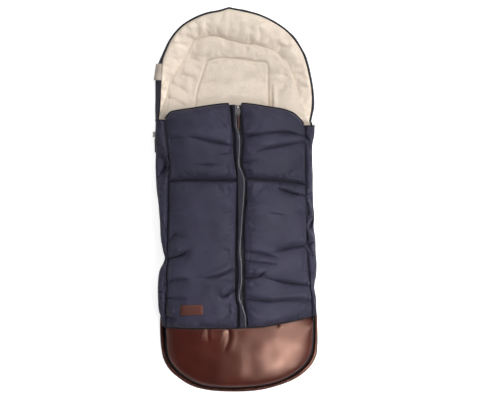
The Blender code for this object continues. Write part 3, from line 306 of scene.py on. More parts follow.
def relaxed(line, times):
    """A line of points with its kinks worn down."""
    line = np.array(line)
    for _ in range(times):
        line[1:-1] = (line[:-2] + 2 * line[1:-1] + line[2:]) / 4
    return line


def ease(low, high, value):
    """0 at low and 1 at high, with a soft start and end."""
    t = np.clip((value - low) / (high - low), 0, 1)
    return t * t * (3 - 2 * t)


def inward(share, reach):
    """0 at both ends of a share from 0 to 1, and 1 from reach inwards."""
    return ease(0, reach, share) * ease(0, reach, 1 - share)


def arch(t, power):
    """1 at 0 and 0 at 1, the boxier the higher the power."""
    return (1 - t**power) ** (1 / power)


def swell(distance, reach, power=2.2):
    """0 at a seam, rising like a stuffed edge to 1 at reach from it."""
    return arch(1 - np.clip(distance / reach, 0, 1), power)


def groove(distance, width):
    """1 on a line, fading out over about width on both sides of it."""
    return np.exp(-((distance / width) ** 2))


def mix(a, b, share):
    return a + (b - a) * share


def ripple(x, y, length, seed, along=1.0):
    """Soft irregular waves of about that length, from -1 to 1. along stretches them in y."""
    rng = np.random.default_rng(seed)
    total = 0
    for angle, pace, phase in rng.uniform((0, 0.6, 0), (2 * math.pi, 1.5, 2 * math.pi), (12, 3)):
        turn = 2 * math.pi / length * pace
        total = total + np.sin(turn * (x * math.cos(angle) + y * math.sin(angle) / along) + phase)
    return total / 4.0


def at_seam(x, y):
    """True beside a gusset seam, the zip or the toe seam, where folds are held."""
    return abs(x) > 0.165 or abs(x - 0.004) < 0.018 or abs(y + 0.320) < 0.014


def pressed(x, y, folds):
    """Height change from folds: a valley with a soft ridge on both sides, stronger on one."""
    total = np.zeros_like(x)
    for number, (points, depth, width) in enumerate(folds):
        line = through(points, 120)
        low, high = line.min(0) - 6 * width, line.max(0) + 6 * width
        near = (x > low[0]) & (x < high[0]) & (y > low[1]) & (y < high[1])
        if not near.any():
            continue
        step = np.gradient(line, axis=0)
        gap_x, gap_y = x[near][:, None] - line[:, 0], y[near][:, None] - line[:, 1]
        nearest = np.argmin(gap_x**2 + gap_y**2, axis=-1)
        picked = np.arange(len(nearest)), nearest
        dx, dy = gap_x[picked], gap_y[picked]
        side = np.sign(step[nearest, 0] * dy - step[nearest, 1] * dx)
        d = np.hypot(dx, dy) * side
        share = nearest / 119
        first, last = (0.05 if at_seam(*line[k]) else 0.42 for k in (0, -1))
        fade = ease(0, first, share) * ease(0, last, 1 - share)
        core = (0.0011 + 0.22 * width) * (0.45 + 0.55 * fade)
        dip = np.where(d > 0, 0.8, 2.1) * width
        valley = -0.75 * np.exp(-((abs(d) / core) ** 1.5)) - 0.7 * groove(d, dip)
        ridge = 0.45 * groove(d - 2.2 * width, 1.7 * width)
        uneven = 0.84 + 0.16 * np.sin(11 * share + 2.1 * number)
        total[near] += depth * (fade * uneven) * (valley + ridge)
    return total


def mesh_object(name, points, faces, mat, smooth=True):
    """A new piece from points and faces, with its normals turned outwards."""
    shape = bmesh.new()
    corners = [shape.verts.new(p) for p in points]
    for face in faces:
        shape.faces.new([corners[i] for i in face])
    loose = [v for v in shape.verts if not v.link_faces]
    bmesh.ops.delete(shape, geom=loose, context="VERTS")
    bmesh.ops.recalc_face_normals(shape, faces=shape.faces)
    mesh = bpy.data.meshes.new(name)
    shape.to_mesh(mesh)
    shape.free()
    mesh.materials.append(mat)
    if smooth:
        mesh.shade_smooth()
    made = bpy.data.objects.new(name, mesh)
    bpy.context.scene.collection.objects.link(made)
    return made


def between(name, top, bottom, mat, holes=None):
    """A closed piece between two grids of points of one shape, open where a cell is a hole."""
    rows, columns = top.shape[:2]
    solid = np.ones((rows - 1, columns - 1), bool) if holes is None else ~holes
    index = np.arange(rows * columns).reshape(rows, columns)
    under = rows * columns
    faces = []
    for j, i in zip(*np.nonzero(solid)):
        ring = (index[j, i], index[j, i + 1], index[j + 1, i + 1], index[j + 1, i])
        faces.append(ring)
        faces.append(tuple(under + k for k in reversed(ring)))
        sides = ((j - 1, i, 0, 1), (j, i + 1, 1, 2), (j + 1, i, 2, 3), (j, i - 1, 3, 0))
        for nj, ni, a, b in sides:
            if 0 <= nj < rows - 1 and 0 <= ni < columns - 1 and solid[nj, ni]:
                continue
            faces.append((ring[a], under + ring[a], under + ring[b], ring[b]))
    points = np.concatenate([top.reshape(-1, 3), bottom.reshape(-1, 3)])
    return mesh_object(name, points, faces, mat)


def evaluated(piece):
    """The piece as its modifiers leave it."""
    return piece.evaluated_get(bpy.context.evaluated_depsgraph_get())


def places_of(mesh):
    """The places of a mesh's points, (n, 3)."""
    places = np.empty(len(mesh.vertices) * 3)
    mesh.vertices.foreach_get("co", places)
    return places.reshape(-1, 3)


def sculpt(piece, change, levels=0):
    """Subdivides a piece, then moves its points: change turns (n, 3) places into new ones."""
    if levels:
        piece.modifiers.new("finer", "SUBSURF").levels = levels
        finer = bpy.data.meshes.new_from_object(evaluated(piece))
        piece.modifiers.clear()
        old = piece.data
        piece.data = finer
        bpy.data.meshes.remove(old)
        piece.data.shade_smooth()
    piece.data.vertices.foreach_set("co", change(places_of(piece.data)).ravel())
    piece.data.update()


def grid(x, y, z):
    """Points of one grid from arrays or numbers for x, y and z."""
    return np.stack(np.broadcast_arrays(x, y, z), -1).astype(float)


def stuffed(top, held, cap, slack=0.04, out=(0, 0, 1)):
    """A grid of cloth blown up by its filling towards out, simulated.

    held says how firmly each point stays, and cap limits the move.
    """
    rows, columns = top.shape[:2]
    index = np.arange(rows * columns).reshape(rows, columns)
    faces = np.stack([index[:-1, :-1], index[:-1, 1:], index[1:, 1:], index[1:, :-1]], -1).reshape(-1, 4)
    mesh = bpy.data.meshes.new("stuffing")
    mesh.from_pydata(top.reshape(-1, 3).tolist(), [], faces.tolist())
    mesh.update()
    if sum(face.area * face.normal.dot(Vector(out)) for face in mesh.polygons) < 0:
        mesh.flip_normals()
    cover = bpy.data.objects.new("stuffing", mesh)
    bpy.context.scene.collection.objects.link(cover)
    group = cover.vertex_groups.new(name="held")
    for k, weight in enumerate(np.broadcast_to(held, (rows, columns)).ravel()):
        group.add([k], float(weight), "REPLACE")
    cloth = cover.modifiers.new("stuffing", "CLOTH")
    settings = cloth.settings
    settings.quality = 5
    settings.use_pressure = True
    settings.uniform_pressure_force = PRESSURE
    settings.shrink_min = -slack
    settings.vertex_group_mass = "held"
    settings.effector_weights.gravity = 0
    cloth.collision_settings.use_collision = False
    cloth.point_cache.frame_start, cloth.point_cache.frame_end = 1, SIM_FRAMES
    for number in range(1, SIM_FRAMES + 1):
        bpy.context.scene.frame_set(number)
    move = places_of(evaluated(cover).to_mesh()).reshape(top.shape) - top
    far = np.linalg.norm(move, axis=-1)
    bpy.data.objects.remove(cover)
    bpy.data.meshes.remove(mesh)
    bpy.context.scene.frame_set(1)
    return top + move / (1 + (far / cap)[..., None] ** 2) ** 0.5


def cord(name, line, radius, mat, sides=8):
    """A round cord along a line of points."""
    line = np.array(line, float)
    radius = np.broadcast_to(radius, len(line))
    along = np.gradient(line, axis=0)
    along /= np.linalg.norm(along, axis=1)[:, None]
    across = np.cross(along, (0, 0, 1.0))
    across /= np.linalg.norm(across, axis=1)[:, None] + 1e-12
    up = np.cross(across, along)
    turn = np.linspace(0, 2 * math.pi, sides, endpoint=False)
    ring = across[:, None] * np.cos(turn)[None, :, None] + up[:, None] * np.sin(turn)[None, :, None]
    points = (line[:, None] + ring * radius[:, None, None]).reshape(-1, 3)
    faces = []
    for i in range(len(line) - 1):
        for k in range(sides):
            a, b = i * sides + k, i * sides + (k + 1) % sides
            faces.append((a, b, b + sides, a + sides))
    faces.append(tuple(range(sides)))
    faces.append(tuple(range(len(points) - sides, len(points))))
    return mesh_object(name, points, faces, mat)


def stitches(name, lines, mat, long=0.0030, gap=0.0015, radius=0.00042):
    """Rows of single stitches, each a slim bead that dips at both ends."""
    points, faces = [], []
    for line in lines:
        line = np.array(line, float)
        starts = np.arange(gap, run_along(line)[-1] - long, long + gap)
        for first, last in zip(at_lengths(line, starts), at_lengths(line, starts + long)):
            along = (last - first) / np.linalg.norm(last - first)
            side = np.cross(along, (0, 0, 1.0))
            side = side / (np.linalg.norm(side) + 1e-12) * radius
            up = np.cross(side, along)
            middle = (first + last) / 2
            base = len(points)
            points += [first, last, middle + side, middle + up, middle - side, middle - up]
            for k in range(4):
                a, b = base + 2 + k, base + 2 + (k + 1) % 4
                faces += [(base, a, b), (base + 1, b, a)]
    return mesh_object(name, points, faces, mat)


def add_node(tree, kind, out=0, having=None, **inputs):
    """An output of a new node. An input named i and a number is the socket at that place."""
    made = tree.nodes.new(kind)
    for key, value in (having or {}).items():
        setattr(made, key, value)
    for key, value in inputs.items():
        socket = made.inputs[int(key[1:]) if key[1:].isdigit() else key]
        if isinstance(value, bpy.types.NodeSocket):
            tree.links.new(value, socket)
        else:
            socket.default_value = value
    return made.outputs[out]


def add_maths(tree, operation, a, b, c=0.0):
    """The result of a sum on sockets or plain numbers."""
    return add_node(tree, "ShaderNodeMath", having={"operation": operation}, i0=a, i1=b, i2=c)


class Paint:
    """A Principled material and short ways to wire its nodes."""

    def __init__(self, name, roughness, metallic=0.0, sheen=0.0, specular=0.5):
        self.material = bpy.data.materials.new(name)
        self.material.use_nodes = True
        self.tree = self.material.node_tree
        self.sockets = self.tree.nodes["Principled BSDF"].inputs
        self.sockets["Metallic"].default_value = metallic
        self.sockets["Sheen Weight"].default_value = sheen
        self.sockets["Specular IOR Level"].default_value = specular
        self.sockets["Roughness"].default_value = roughness
        self.sockets["Sheen Roughness"].default_value = 0.45
        self.place = self.node("ShaderNodeTexCoord", "Object")

    def node(self, kind, out=0, having=None, **inputs):
        return add_node(self.tree, kind, out, having, **inputs)

    def maths(self, *parts):
        return add_maths(self.tree, *parts)

    def noise(self, scale, detail=3.0, rough=0.5, place=None):
        shape = {"Scale": scale, "Detail": detail, "Roughness": rough}
        return self.node("ShaderNodeTexNoise", Vector=place or self.place, **shape)

    def turned(self, turn, scale=(1, 1, 1)):
        return self.node("ShaderNodeMapping", Vector=self.place, Rotation=turn, Scale=scale)

    def ramp(self, value, low_at, low, high_at, high):
        """A colour from a value: low up to low_at, and high from high_at on. One number is a grey."""
        made = self.tree.nodes.new("ShaderNodeValToRGB")
        for band, at, colour in zip(made.color_ramp.elements, (low_at, high_at), (low, high)):
            band.position = at
            band.color = (*np.broadcast_to(colour, 3), 1.0)
        self.tree.links.new(value, made.inputs["Fac"])
        return made.outputs["Color"]

    def blend(self, how, share, a, b):
        colours = {"data_type": "RGBA", "blend_type": how}
        return self.node("ShaderNodeMix", 2, colours, i0=share, i6=a, i7=b)

    def painted_crease_shade(self, tone, reach, dark):
        """tone, darkened towards dark by ambient occlusion in creases and along seams: painted shade."""
        open_share = self.node("ShaderNodeAmbientOcclusion", "AO", {"samples": 6}, Distance=reach)
        return self.blend("MULTIPLY", 1.0, tone, self.ramp(open_share, 0.35, dark, 0.85, 1.0))

    def varied(self, roughness, amount, noise):
        """Roughness that wanders by amount over the surface."""
        return self.maths("MULTIPLY_ADD", noise, amount, roughness - amount / 2)

    def bump(self, layers):
        """Bump from (height, strength, distance) layers, one on another."""
        inputs = {}
        for height, strength, distance in layers:
            inputs.update(Height=height, Strength=strength, Distance=distance)
            inputs["Normal"] = self.node("ShaderNodeBump", **inputs)
        self.tree.links.new(inputs["Normal"], self.sockets["Normal"])

    def finish(self, colour, rough=None):
        self.tree.links.new(colour, self.sockets["Base Color"])
        if rough is not None:
            self.tree.links.new(rough, self.sockets["Roughness"])
        return self.material


def shade(colour, level):
    return tuple(min(c * level, 1.0) for c in colour)


def weave(paint, pitch):
    """Height of threads that pass over and under each other, pitch apart."""
    shape = {"Scale": 0.314 / pitch, "Distortion": 0.6, "Detail Scale": 2.0}
    turns = (0.45, 0.35, 0.78), (0.45, 0.35, 0.78 + math.pi / 2)
    waves = [paint.node("ShaderNodeTexWave", "Fac", Vector=paint.turned(turn), **shape) for turn in turns]
    return paint.maths("MULTIPLY", *waves)


def cloth(
    name, colour, roughness, sheen,
    pitch=0.0009, crumple=0.25, spread=0.16, dark=(0.27, 0.24, 0.32), reach=0.014,
):
    """Woven fabric: threads, faint creasing, tone that varies from place to place, and painted shade in
    creases and along seams.
    """
    paint = Paint(name, roughness, sheen=sheen, specular=0.25)
    paint.sockets["Sheen Tint"].default_value = (0.80, 0.80, 0.95, 1.0)
    tone = paint.ramp(paint.noise(9.0), 0.32, shade(colour, 1 - spread), 0.68, shade(colour, 1 + spread))
    slub = paint.noise(900.0, 2.0, place=paint.turned((0.4, 0.3, 0.8), (1, 0.08, 1)))
    tone = paint.blend("MULTIPLY", 0.35, tone, paint.ramp(slub, 0.35, 0.72, 0.65, 1.0))
    # Painted shade: tone is darkened towards dark where ambient occlusion finds creases and seams
    tone = paint.painted_crease_shade(tone, reach, dark)
    paint.bump([(paint.noise(75.0, 4.0, 0.6), crumple, 0.004), (weave(paint, pitch), 0.35, 0.00025)])
    return paint.finish(tone, paint.varied(roughness, 0.22, paint.noise(22.0)))


def leather(name, colour, roughness, grain=0.0016):
    """Grained faux leather with soft creasing and rubbed, lighter patches, rougher on upright sides, and
    painted shade in its creases and seams.
    """
    paint = Paint(name, roughness, specular=0.9)
    paint.sockets["Specular Tint"].default_value = (1.0, 0.63, 0.49, 1.0)
    to_edge = {"feature": "DISTANCE_TO_EDGE"}
    pebble = paint.node("ShaderNodeTexVoronoi", "Distance", to_edge, Vector=paint.place, Scale=1 / grain)
    pebble = paint.maths("MINIMUM", pebble, 0.22)
    tone = paint.ramp(paint.noise(14.0, 4.0), 0.30, shade(colour, 0.7), 0.70, shade(colour, 1.3))
    pores = paint.ramp(paint.noise(600.0, 2.0), 0.38, 0.78, 0.55, 1.0)
    tone = paint.blend("MULTIPLY", 0.6, tone, pores)
    # Painted shade: tone is darkened where ambient occlusion finds creases and seams
    tone = paint.painted_crease_shade(tone, 0.014, (0.16, 0.12, 0.12))
    facing = paint.node("ShaderNodeTexCoord", "Normal")
    upright = paint.node("ShaderNodeSeparateXYZ", "Z", Vector=facing)
    sides = paint.maths("MAXIMUM", paint.maths("SUBTRACT", 0.85, upright), 0.0)
    rough = paint.varied(roughness, 0.16, paint.noise(30.0))
    paint.bump([(paint.noise(60.0, 3.0, 0.55), 0.05, 0.004), (pebble, 0.16, 0.0004)])
    return paint.finish(tone, paint.maths("MULTIPLY_ADD", sides, 0.65, rough))


def metal(name, colour, roughness, metallic=1.0):
    """Plated zip metal with fine scratches and dulled spots."""
    paint = Paint(name, roughness, metallic=metallic)
    scratch = paint.noise(2500.0, 2.0, place=paint.turned((0.2, 0.1, 0.6), (1, 0.04, 1)))
    tone = paint.ramp(paint.noise(400.0), 0.35, shade(colour, 0.75), 0.6, shade(colour, 1.05))
    paint.bump([(scratch, 0.15, 0.0001)])
    rough = paint.maths("MULTIPLY_ADD", paint.noise(350.0), 0.25, roughness - 0.10)
    return paint.finish(tone, rough)


def plastic(name, colour, roughness):
    paint = Paint(name, roughness)
    tone = paint.ramp(paint.noise(220.0), 0.35, shade(colour, 0.85), 0.65, shade(colour, 1.2))
    paint.bump([(paint.noise(1800.0, 2.0), 0.12, 0.0002)])
    return paint.finish(tone, paint.varied(roughness, 0.18, paint.noise(500.0)))


def dotted_rubber(name, colour):
    """Anti-slip fabric with a grid of raised rubber dots, 4 mm apart."""
    paint = Paint(name, 0.6)
    dots = paint.node("ShaderNodeTexVoronoi", "Distance", Vector=paint.place, Scale=250.0, Randomness=0.0)
    raised = paint.ramp(dots, 0.30, 1.0, 0.40, 0.0)
    tone = paint.blend("MIX", raised, (*shade(colour, 2.2), 1.0), (*colour, 1.0))
    paint.bump([(raised, 0.8, 0.0006), (weave(paint, 0.0008), 0.3, 0.0002)])
    return paint.finish(tone)


NAVY = (0.0276, 0.0258, 0.0478)
CREAM = (0.715, 0.617, 0.514)
BROWN = (0.044, 0.0048, 0.0038)
# For the satins, dark is the warm tint of the painted shade in their creases
SATIN = {"pitch": 0.0007, "crumple": 0.30, "spread": 0.05, "dark": (0.88, 0.82, 0.73), "reach": 0.007}
mats = {
    "navy": cloth("navy twill", NAVY, 0.66, 0.10),
    # Painted shade: the placket strip's navy is darkened to 0.42, for the shadow it lies in down the zip
    # groove
    "navy_painted_shade": cloth("navy darkened for strip shade", shade(NAVY, 0.42), 0.70, 0.03),
    "navy_back": cloth("navy back fabric", shade(NAVY, 0.8), 0.7, 0.15, crumple=0.35),
    # Lit and shaded copies of one cream satin: the lining is darkened and the head border brightened,
    # painted shade and painted light for how each meets the lamps
    "cream": cloth("cream satin darkened for lining", shade(CREAM, 0.89), 0.6, 0.10, **SATIN),
    "cream_brightened": cloth("cream satin brightened for border", shade(CREAM, 1.12), 0.6, 0.10, **SATIN),
    "brown": leather("brown faux leather", BROWN, 0.385),
    "dark_leather": leather("puller leather", (0.022, 0.011, 0.010), 0.6),
    "patch": leather("patch leather", (0.055, 0.0090, 0.0080), 0.6, grain=0.0010),
    "tab": cloth("tab ribbon", (0.516, 0.439, 0.371), 0.7, 0.1, pitch=0.0012, spread=0.08),
    "binding": cloth("binding ribbon", (0.018, 0.017, 0.026), 0.6, 0.15, pitch=0.0008),
    # Painted shade: the hem cords are near-black, darker than the navy, for the shade along the neck, gusset
    # ends and toe seams
    "hem": cloth("near-black hem with painted shade", (0.010, 0.009, 0.014), 0.7, 0.05),
    "tape": cloth("zip tape weave", (0.016, 0.015, 0.022), 0.7, 0.1, pitch=0.0007),
    "teeth": plastic("zip teeth", (0.018, 0.017, 0.022), 0.35),
    # Painted highlight: the placket roll's pale grey stands in for the lit edge of the fold
    "piping": cloth("pale roll with painted highlight", (0.135, 0.135, 0.150), 0.45, 0.2, pitch=0.0006),
    "navy_thread": plastic("navy thread", (0.030, 0.029, 0.045), 0.6),
    "brown_thread": plastic("brown thread", (0.060, 0.022, 0.018), 0.5),
    "tan_thread": plastic("tan thread", (0.260, 0.120, 0.090), 0.5),
    "rubber": dotted_rubber("anti-slip dots", (0.028, 0.028, 0.030)),
    "metal": metal("zip metal", (0.50, 0.48, 0.46), 0.30),
    "gunmetal": metal("dark zip metal", (0.17, 0.165, 0.16), 0.34),
    "silver": metal("enamelled slider", (0.86, 0.80, 0.72), 0.28, metallic=0.25),
}

# Harness slots: the middle and the size, each (x, y)
SLOTS = {
    "shoulder_left": ((-0.060, 0.140), (0.060, 0.012)),
    "shoulder_right": ((0.060, 0.140), (0.060, 0.012)),
    "waist_left": ((-0.115, -0.100), (0.012, 0.060)),
    "waist_right": ((0.115, -0.100), (0.012, 0.060)),
    "crotch": ((0.0, -0.160), (0.060, 0.012)),
}

# Contours as functions, by sign where there are two
SIDES = {-1: "left", 1: "right"}
widest = {-1: reading(SIDE_LEFT + [(-0.60, -0.2043)]), 1: reading(SIDE_RIGHT + [(-0.60, 0.2043)])}
ridges = {-1: reading(RIDGE_LEFT), 1: reading(RIDGE_RIGHT)}
seams = {-1: reading(GUSSET_SEAM_LEFT), 1: reading(GUSSET_SEAM_RIGHT)}
edges = {-1: reading(FLAP_EDGE_LEFT), 1: reading(FLAP_EDGE_RIGHT)}
neck_y, cross_y, toe_y, fold_x = (reading(line) for line in (NECK, CROSS_SEAM, TOE_SEAM, FOLD_LINE))


def side_x(y, sign):
    """The footmuff's widest line on one side. Past the cover it is the hood's."""
    waist = 0.0060 * groove(y - 0.208, 0.014) * (sign > 0)
    return mix(widest[sign](y), sign * HALF, ease(0.17, 0.24, y)) - waist


def stations(low, high, step, fixed):
    """Places about a step apart that take in the fixed ones."""
    places = sorted({low, high, *[v for v in fixed if low < v < high]})
    pairs = zip(places[:-1], places[1:])
    parts = [np.linspace(a, b, max(1, round((b - a) / step)) + 1)[:-1] for a, b in pairs]
    return np.concatenate([*parts, [high]])


def slotted_grid(y_low, y_high, inset, step, narrow=0.0):
    """Grid places over the back between y_low(x) and y_high(x), whose lines keep to the slots' edges.

    narrow is how much further in the sides are at the toe.
    """
    past = HALF - INNER_X
    slot_x, slot_y = ([c[k] + e * s[k] / 2 for c, s in SLOTS.values() for e in (-1, 1)] for k in (0, 1))
    xs = stations(-INNER_X, INNER_X, step, slot_x)
    outer = np.linspace(0, 1, round(past / step) + 2)[1:] ** 0.8
    nominal = np.concatenate([-INNER_X - past * outer[::-1], xs, INNER_X + past * outer])
    ys = stations(*SLOTTED, step, slot_y)
    low_share, high_share = np.linspace(0, 1, 30)[:-1] ** 0.85, np.linspace(0, 1, 46)[1:] ** 0.85
    below = mix(y_low(nominal)[None], SLOTTED[0], low_share[:, None])
    beyond = np.clip((abs(nominal) - INNER_X) / past, 0, 1)
    reach = np.maximum(y_high(nominal - np.sign(nominal) * beyond * inset), SLOTTED[1] + 0.002)
    above = mix(SLOTTED[1], reach[None], high_share[:, None])
    y = np.concatenate([below, np.repeat(ys[:, None], len(nominal), 1), above])
    x = np.repeat(nominal[None], len(y), 0)
    edge = np.where(x < 0, -side_x(y, -1), side_x(y, 1)) - inset - narrow * ease(-0.250, -0.315, y)
    share = np.clip((abs(x) - INNER_X) / past, 0, 1)
    x = np.where(share > 0, np.sign(x) * (INNER_X + share * (edge - INNER_X)), x)
    middle_x, middle_y = ((k[:-1, :-1] + k[1:, 1:]) / 2 for k in (x, y))
    holes = np.zeros(middle_x.shape, bool)
    for (cx, cy), (wide, long) in SLOTS.values():
        holes |= (abs(middle_x - cx) < wide / 2) & (abs(middle_y - cy) < long / 2)
    return x, y, holes


def away(x, y, line):
    """Distance from places to a line of points."""
    return np.sqrt(((x[..., None] - line[:, 0]) ** 2 + (y[..., None] - line[:, 1]) ** 2).min(-1))


def ride_hood(piece):
    """Fabric on the hood, with its placement baked into its points."""
    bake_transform(piece)


def ride_flap(piece):
    """Fabric of a flap, with its placement baked into its points."""
    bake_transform(piece)


def lining_toe(x):
    """y of the lining's edge at the toe."""
    t = np.clip(abs(x) / (HALF - LINING_TOE_IN), 0, 1)
    return -0.369 - (0.131 - LINING_TOE_IN) * arch(t, 2.4)


def neck_rise(y):
    """How far the lining rises towards the front panels at the neck."""
    return 0.0150 * ease(0.310, 0.222, y) * ease(0.080, 0.170, y)


def make_back():
    """Navy back with its slots."""
    y_high = reading([(x, y) for x, y in through(HOOD_FOOT, 300) if y > 0.262 or x < 0])
    x, y, holes = slotted_grid(lambda v: np.full_like(v, -0.3303), y_high, 0.0030, 0.009)
    under = 0.0013 + np.maximum(0.0006 * ripple(x, y, 0.06, 3) + 0.0006, 0)
    back = between("back_fabric", grid(x, y, 0.0046), grid(x, y, under), mats["navy_back"], holes)
    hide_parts("back_shell")
    ride_hood(back)


def make_lining():
    """The quilted cream lining, which runs on into the hood round its flat centre pad."""
    inner, pad_line = through(BORDER_INNER, 260), through(CENTRE_PAD, 400)
    reach = reading([(a, b + 0.010) for a, b in inner])
    x, y, holes = slotted_grid(lining_toe, reach, LINING_IN, 0.0052, narrow=0.0080)
    ys, xs = np.linspace(0.2, -0.37, 80), np.linspace(-0.185, 0.185, 80)
    sides = [np.column_stack([side_x(ys, sign) - sign * LINING_IN, ys]) for sign in SIDES]
    edge = away(x, y, np.concatenate([inner + (0, 0.006), *sides, np.column_stack([xs, lining_toe(xs)])]))
    pad_seam = away(x, y, through(CENTRE_PAD, 160))
    hood_part = ease(0.17, 0.21, y)
    z = 0.0130 + 0.0070 * hood_part + (0.0115 - 0.0070 * hood_part) * swell(edge, 0.045)
    z += 0.0022 * ripple(x, y, 0.06, 7) * hood_part * (1 - swell(edge, 0.03))
    for row in range(4):
        z -= 0.0060 * groove(y - (-0.2950 + 0.125 * row), 0.008) * swell(edge, 0.03)
    right_rise = 0.0060 * ease(0.095, 0.155, x) * hood_part
    z += 0.0022 * swell(pad_seam, 0.035) * hood_part + neck_rise(y) + right_rise
    top = grid(x, y, z)
    head = slice(int(np.argmax(y[:, 0] > 0.186)), None)
    free = ease(0.19, 0.21, y) * ease(0.004, 0.012, edge) * ease(0.0015, 0.009, pad_seam)
    top[head] = stuffed(top[head], 1 - free[head], cap=0.004)
    pad = between("lining_pad", top, grid(x, y, LINING_Z), mats["cream"], holes)

    def quilted(places):
        x, y, z = places.T
        fall = -0.0045 * groove(away(x, y, pad_line), 0.0024) * ease(0.17, 0.21, y)
        fall += 1.3 * pressed(x, y, FOLDS_LINING) + 0.0010 * ripple(x, y, 0.055, 5)
        return np.column_stack([x, y, np.maximum(z + fall * ease(0.0100, 0.0140, z), LINING_Z)])

    sculpt(pad, quilted, levels=1)
    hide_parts("back_lining", "hood_lining")
    ride_hood(pad)


def make_slot_edges():
    """A bound edge round each harness slot, from under the back up to the lining."""
    flare = (0.0030, 0.0026, 0.0004, 0.0002, 0.0004, 0.0012, 0.0028, 0.0040)
    outside = list(zip(flare, (0.0006, 0.0016, 0.0030, 0.0120, 0.0215, 0.0238, 0.0250, 0.0246)))
    section = outside + [(f - 0.0014, z) for f, z in reversed(outside)]
    corner = 0.003
    for name, ((cx, cy), (wide, long)) in SLOTS.items():
        ring = []
        for k, (sx, sy) in enumerate(((1, 1), (-1, 1), (-1, -1), (1, -1))):
            x, y = cx + sx * (wide / 2 - corner), cy + sy * (long / 2 - corner)
            turns = k * math.pi / 2 + np.linspace(0, math.pi / 2, 5)
            ring += [(x + corner * math.cos(turn), y + corner * math.sin(turn)) for turn in turns]
        reach = np.array(ring) - (cx, cy)
        out = reach / np.linalg.norm(reach / (wide, long), axis=1)[:, None] / (wide, long)
        points = [(*place, z) for f, z in section for place in ring + out * f]
        n, faces = len(ring), []
        for a in range(0, len(points), n):
            b = (a + n) % len(points)
            faces += [(a + i, a + (i + 1) % n, b + (i + 1) % n, b + i) for i in range(n)]
        edge = mesh_object(f"slot_edge_{name}", points, faces, mats["binding"])
        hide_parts(f"slot_welt_{name}")
        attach(edge, "back")


def make_hood_wall():
    """The outer fabric turned up round the hood."""
    foot, rim = through(HOOD_FOOT, 330), through(HOOD_EDGE, 330)
    run, rise = np.linspace(0, 1, len(foot))[:, None], np.linspace(0, 1, 12)[None]
    z = mix(0.0030, mix(0.0270, EDGE_Z, inward(run, 0.03)), rise)
    lean = np.sin(rise * math.pi / 2) ** 1.6
    x, y = (mix(foot[:, k : k + 1], rim[:, k : k + 1], lean) for k in (0, 1))
    out = foot - (0, 0.2)
    out /= np.linalg.norm(out, axis=1)[:, None]
    out_x, out_y = out[:, :1], out[:, 1:]
    bulge = 0.0016 * np.sin(rise * math.pi) * (1 + 0.8 * ripple(x, y, 0.07, 11))
    x, y = x + out_x * bulge, y + out_y * bulge
    thick = 0.0026
    wall = between("hood_wall", grid(x, y, z), grid(x - out_x * thick, y - out_y * thick, z), mats["navy"])
    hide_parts("hood_shell")
    ride_hood(wall)


def make_head_border():
    """The fat padded crescent round the head."""
    rows, columns = 260, 24
    rim, inner = through(HOOD_EDGE, rows), through(BORDER_INNER, rows)
    rim = rim + 0.0026 * (inner - rim) / np.linalg.norm(inner - rim, axis=1)[:, None]
    share = (1 - np.cos(np.linspace(0, math.pi, columns)))[None] / 2
    x, y = (mix(rim[:, k : k + 1], inner[:, k : k + 1], share) for k in (0, 1))
    wide = np.linalg.norm(inner - rim, axis=1)[:, None]
    run = run_along(rim)[:, None]
    level = 0.0205 + neck_rise(y[:, -1:]) + 0.0060 * ease(0.095, 0.155, x[:, -1:])
    power = mix(1.25, 2.0, ease(-0.125, -0.095, x)) - 0.75 * ease(0.06, 0.12, x)
    top = swell(share * wide, 0.014) * swell((1 - share) * wide, 0.034, power)
    plump = mix(0.2, 1.0, ease(0.004, 0.045, wide)) * mix(1.0, 0.6, ease(0.05, 0.14, x))
    tucks = 0.0014 * ripple(run, share * wide * 0.35, 0.034, 21) + 0.0008 * ripple(x, y, 0.030, 22)
    z = mix(0.0375, level, share) + top * (0.0155 * plump + tucks)
    along = run / run[-1]
    free = ease(0.03, 0.16, share) * ease(0.02, 0.14, 1 - share)
    free = free * ease(0, 0.02, along) * ease(0, 0.02, 1 - along)
    cover = stuffed(grid(x, y, z), 1 - free, cap=0.004)
    # The border's brightened cream is painted light
    border = between("head_border", cover, grid(x, y, 0.0058), mats["cream_brightened"])

    def creased(places):
        x, y, z = places.T
        return np.column_stack([x, y, z + pressed(x, y, FOLDS_BORDER) * ease(0.018, 0.026, z)])

    sculpt(border, creased)
    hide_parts("hood_border")
    ride_hood(border)


def make_hood_trim():
    """The hood's dark bound edge and the blank woven tab folded over it."""
    line = through(HOOD_EDGE, 420)
    z = mix(0.0275, 0.0398, inward(np.linspace(0, 1, len(line)), 0.03)) + 0.0004 * ripple(*line.T, 0.03, 23)
    binding = cord("edge_binding", np.column_stack([line, z]), 0.0021, mats["binding"])
    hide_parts("hood_binding", "collar_binding_left", "collar_binding_right")
    ride_hood(binding)

    across, along = np.linspace(0, 1, 14)[None], np.linspace(0, 1, 20)[:, None]
    x = mix(-0.1848, -0.2062, across) + 0.0070 * (along - 0.5)
    y = mix(0.3130, 0.3560, along) + 0.0012 * across
    z = 0.0425 + 0.0030 * np.sin(across * math.pi) - 0.0085 * across**2 + 0.0006 * np.sin(along * 9)
    tab = between("woven_tab_label", grid(x, y, z), grid(x, y, z - 0.0012), mats["tab"])
    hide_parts("woven_tab")
    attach(tab, "hood")


def side_zip_line():
    """The side zip's way down the left side, round the toe and up the right side, (x, y)."""
    ys = np.linspace(0.197, -0.300, 260)
    left = np.column_stack([side_x(ys, -1) + 0.0046, ys])
    right = np.column_stack([side_x(ys[::-1], 1) - 0.0046, ys[::-1]])
    toe = through(DOME_FOOT, 300)
    out = normals(toe)
    out *= np.sign((out * toe).sum(1))[:, None]
    smooth = relaxed(np.concatenate([left, (toe + 0.0015 * out)[6:-6], right]), 12)
    return at_lengths(smooth, np.arange(0, run_along(smooth)[-1], 0.0011))


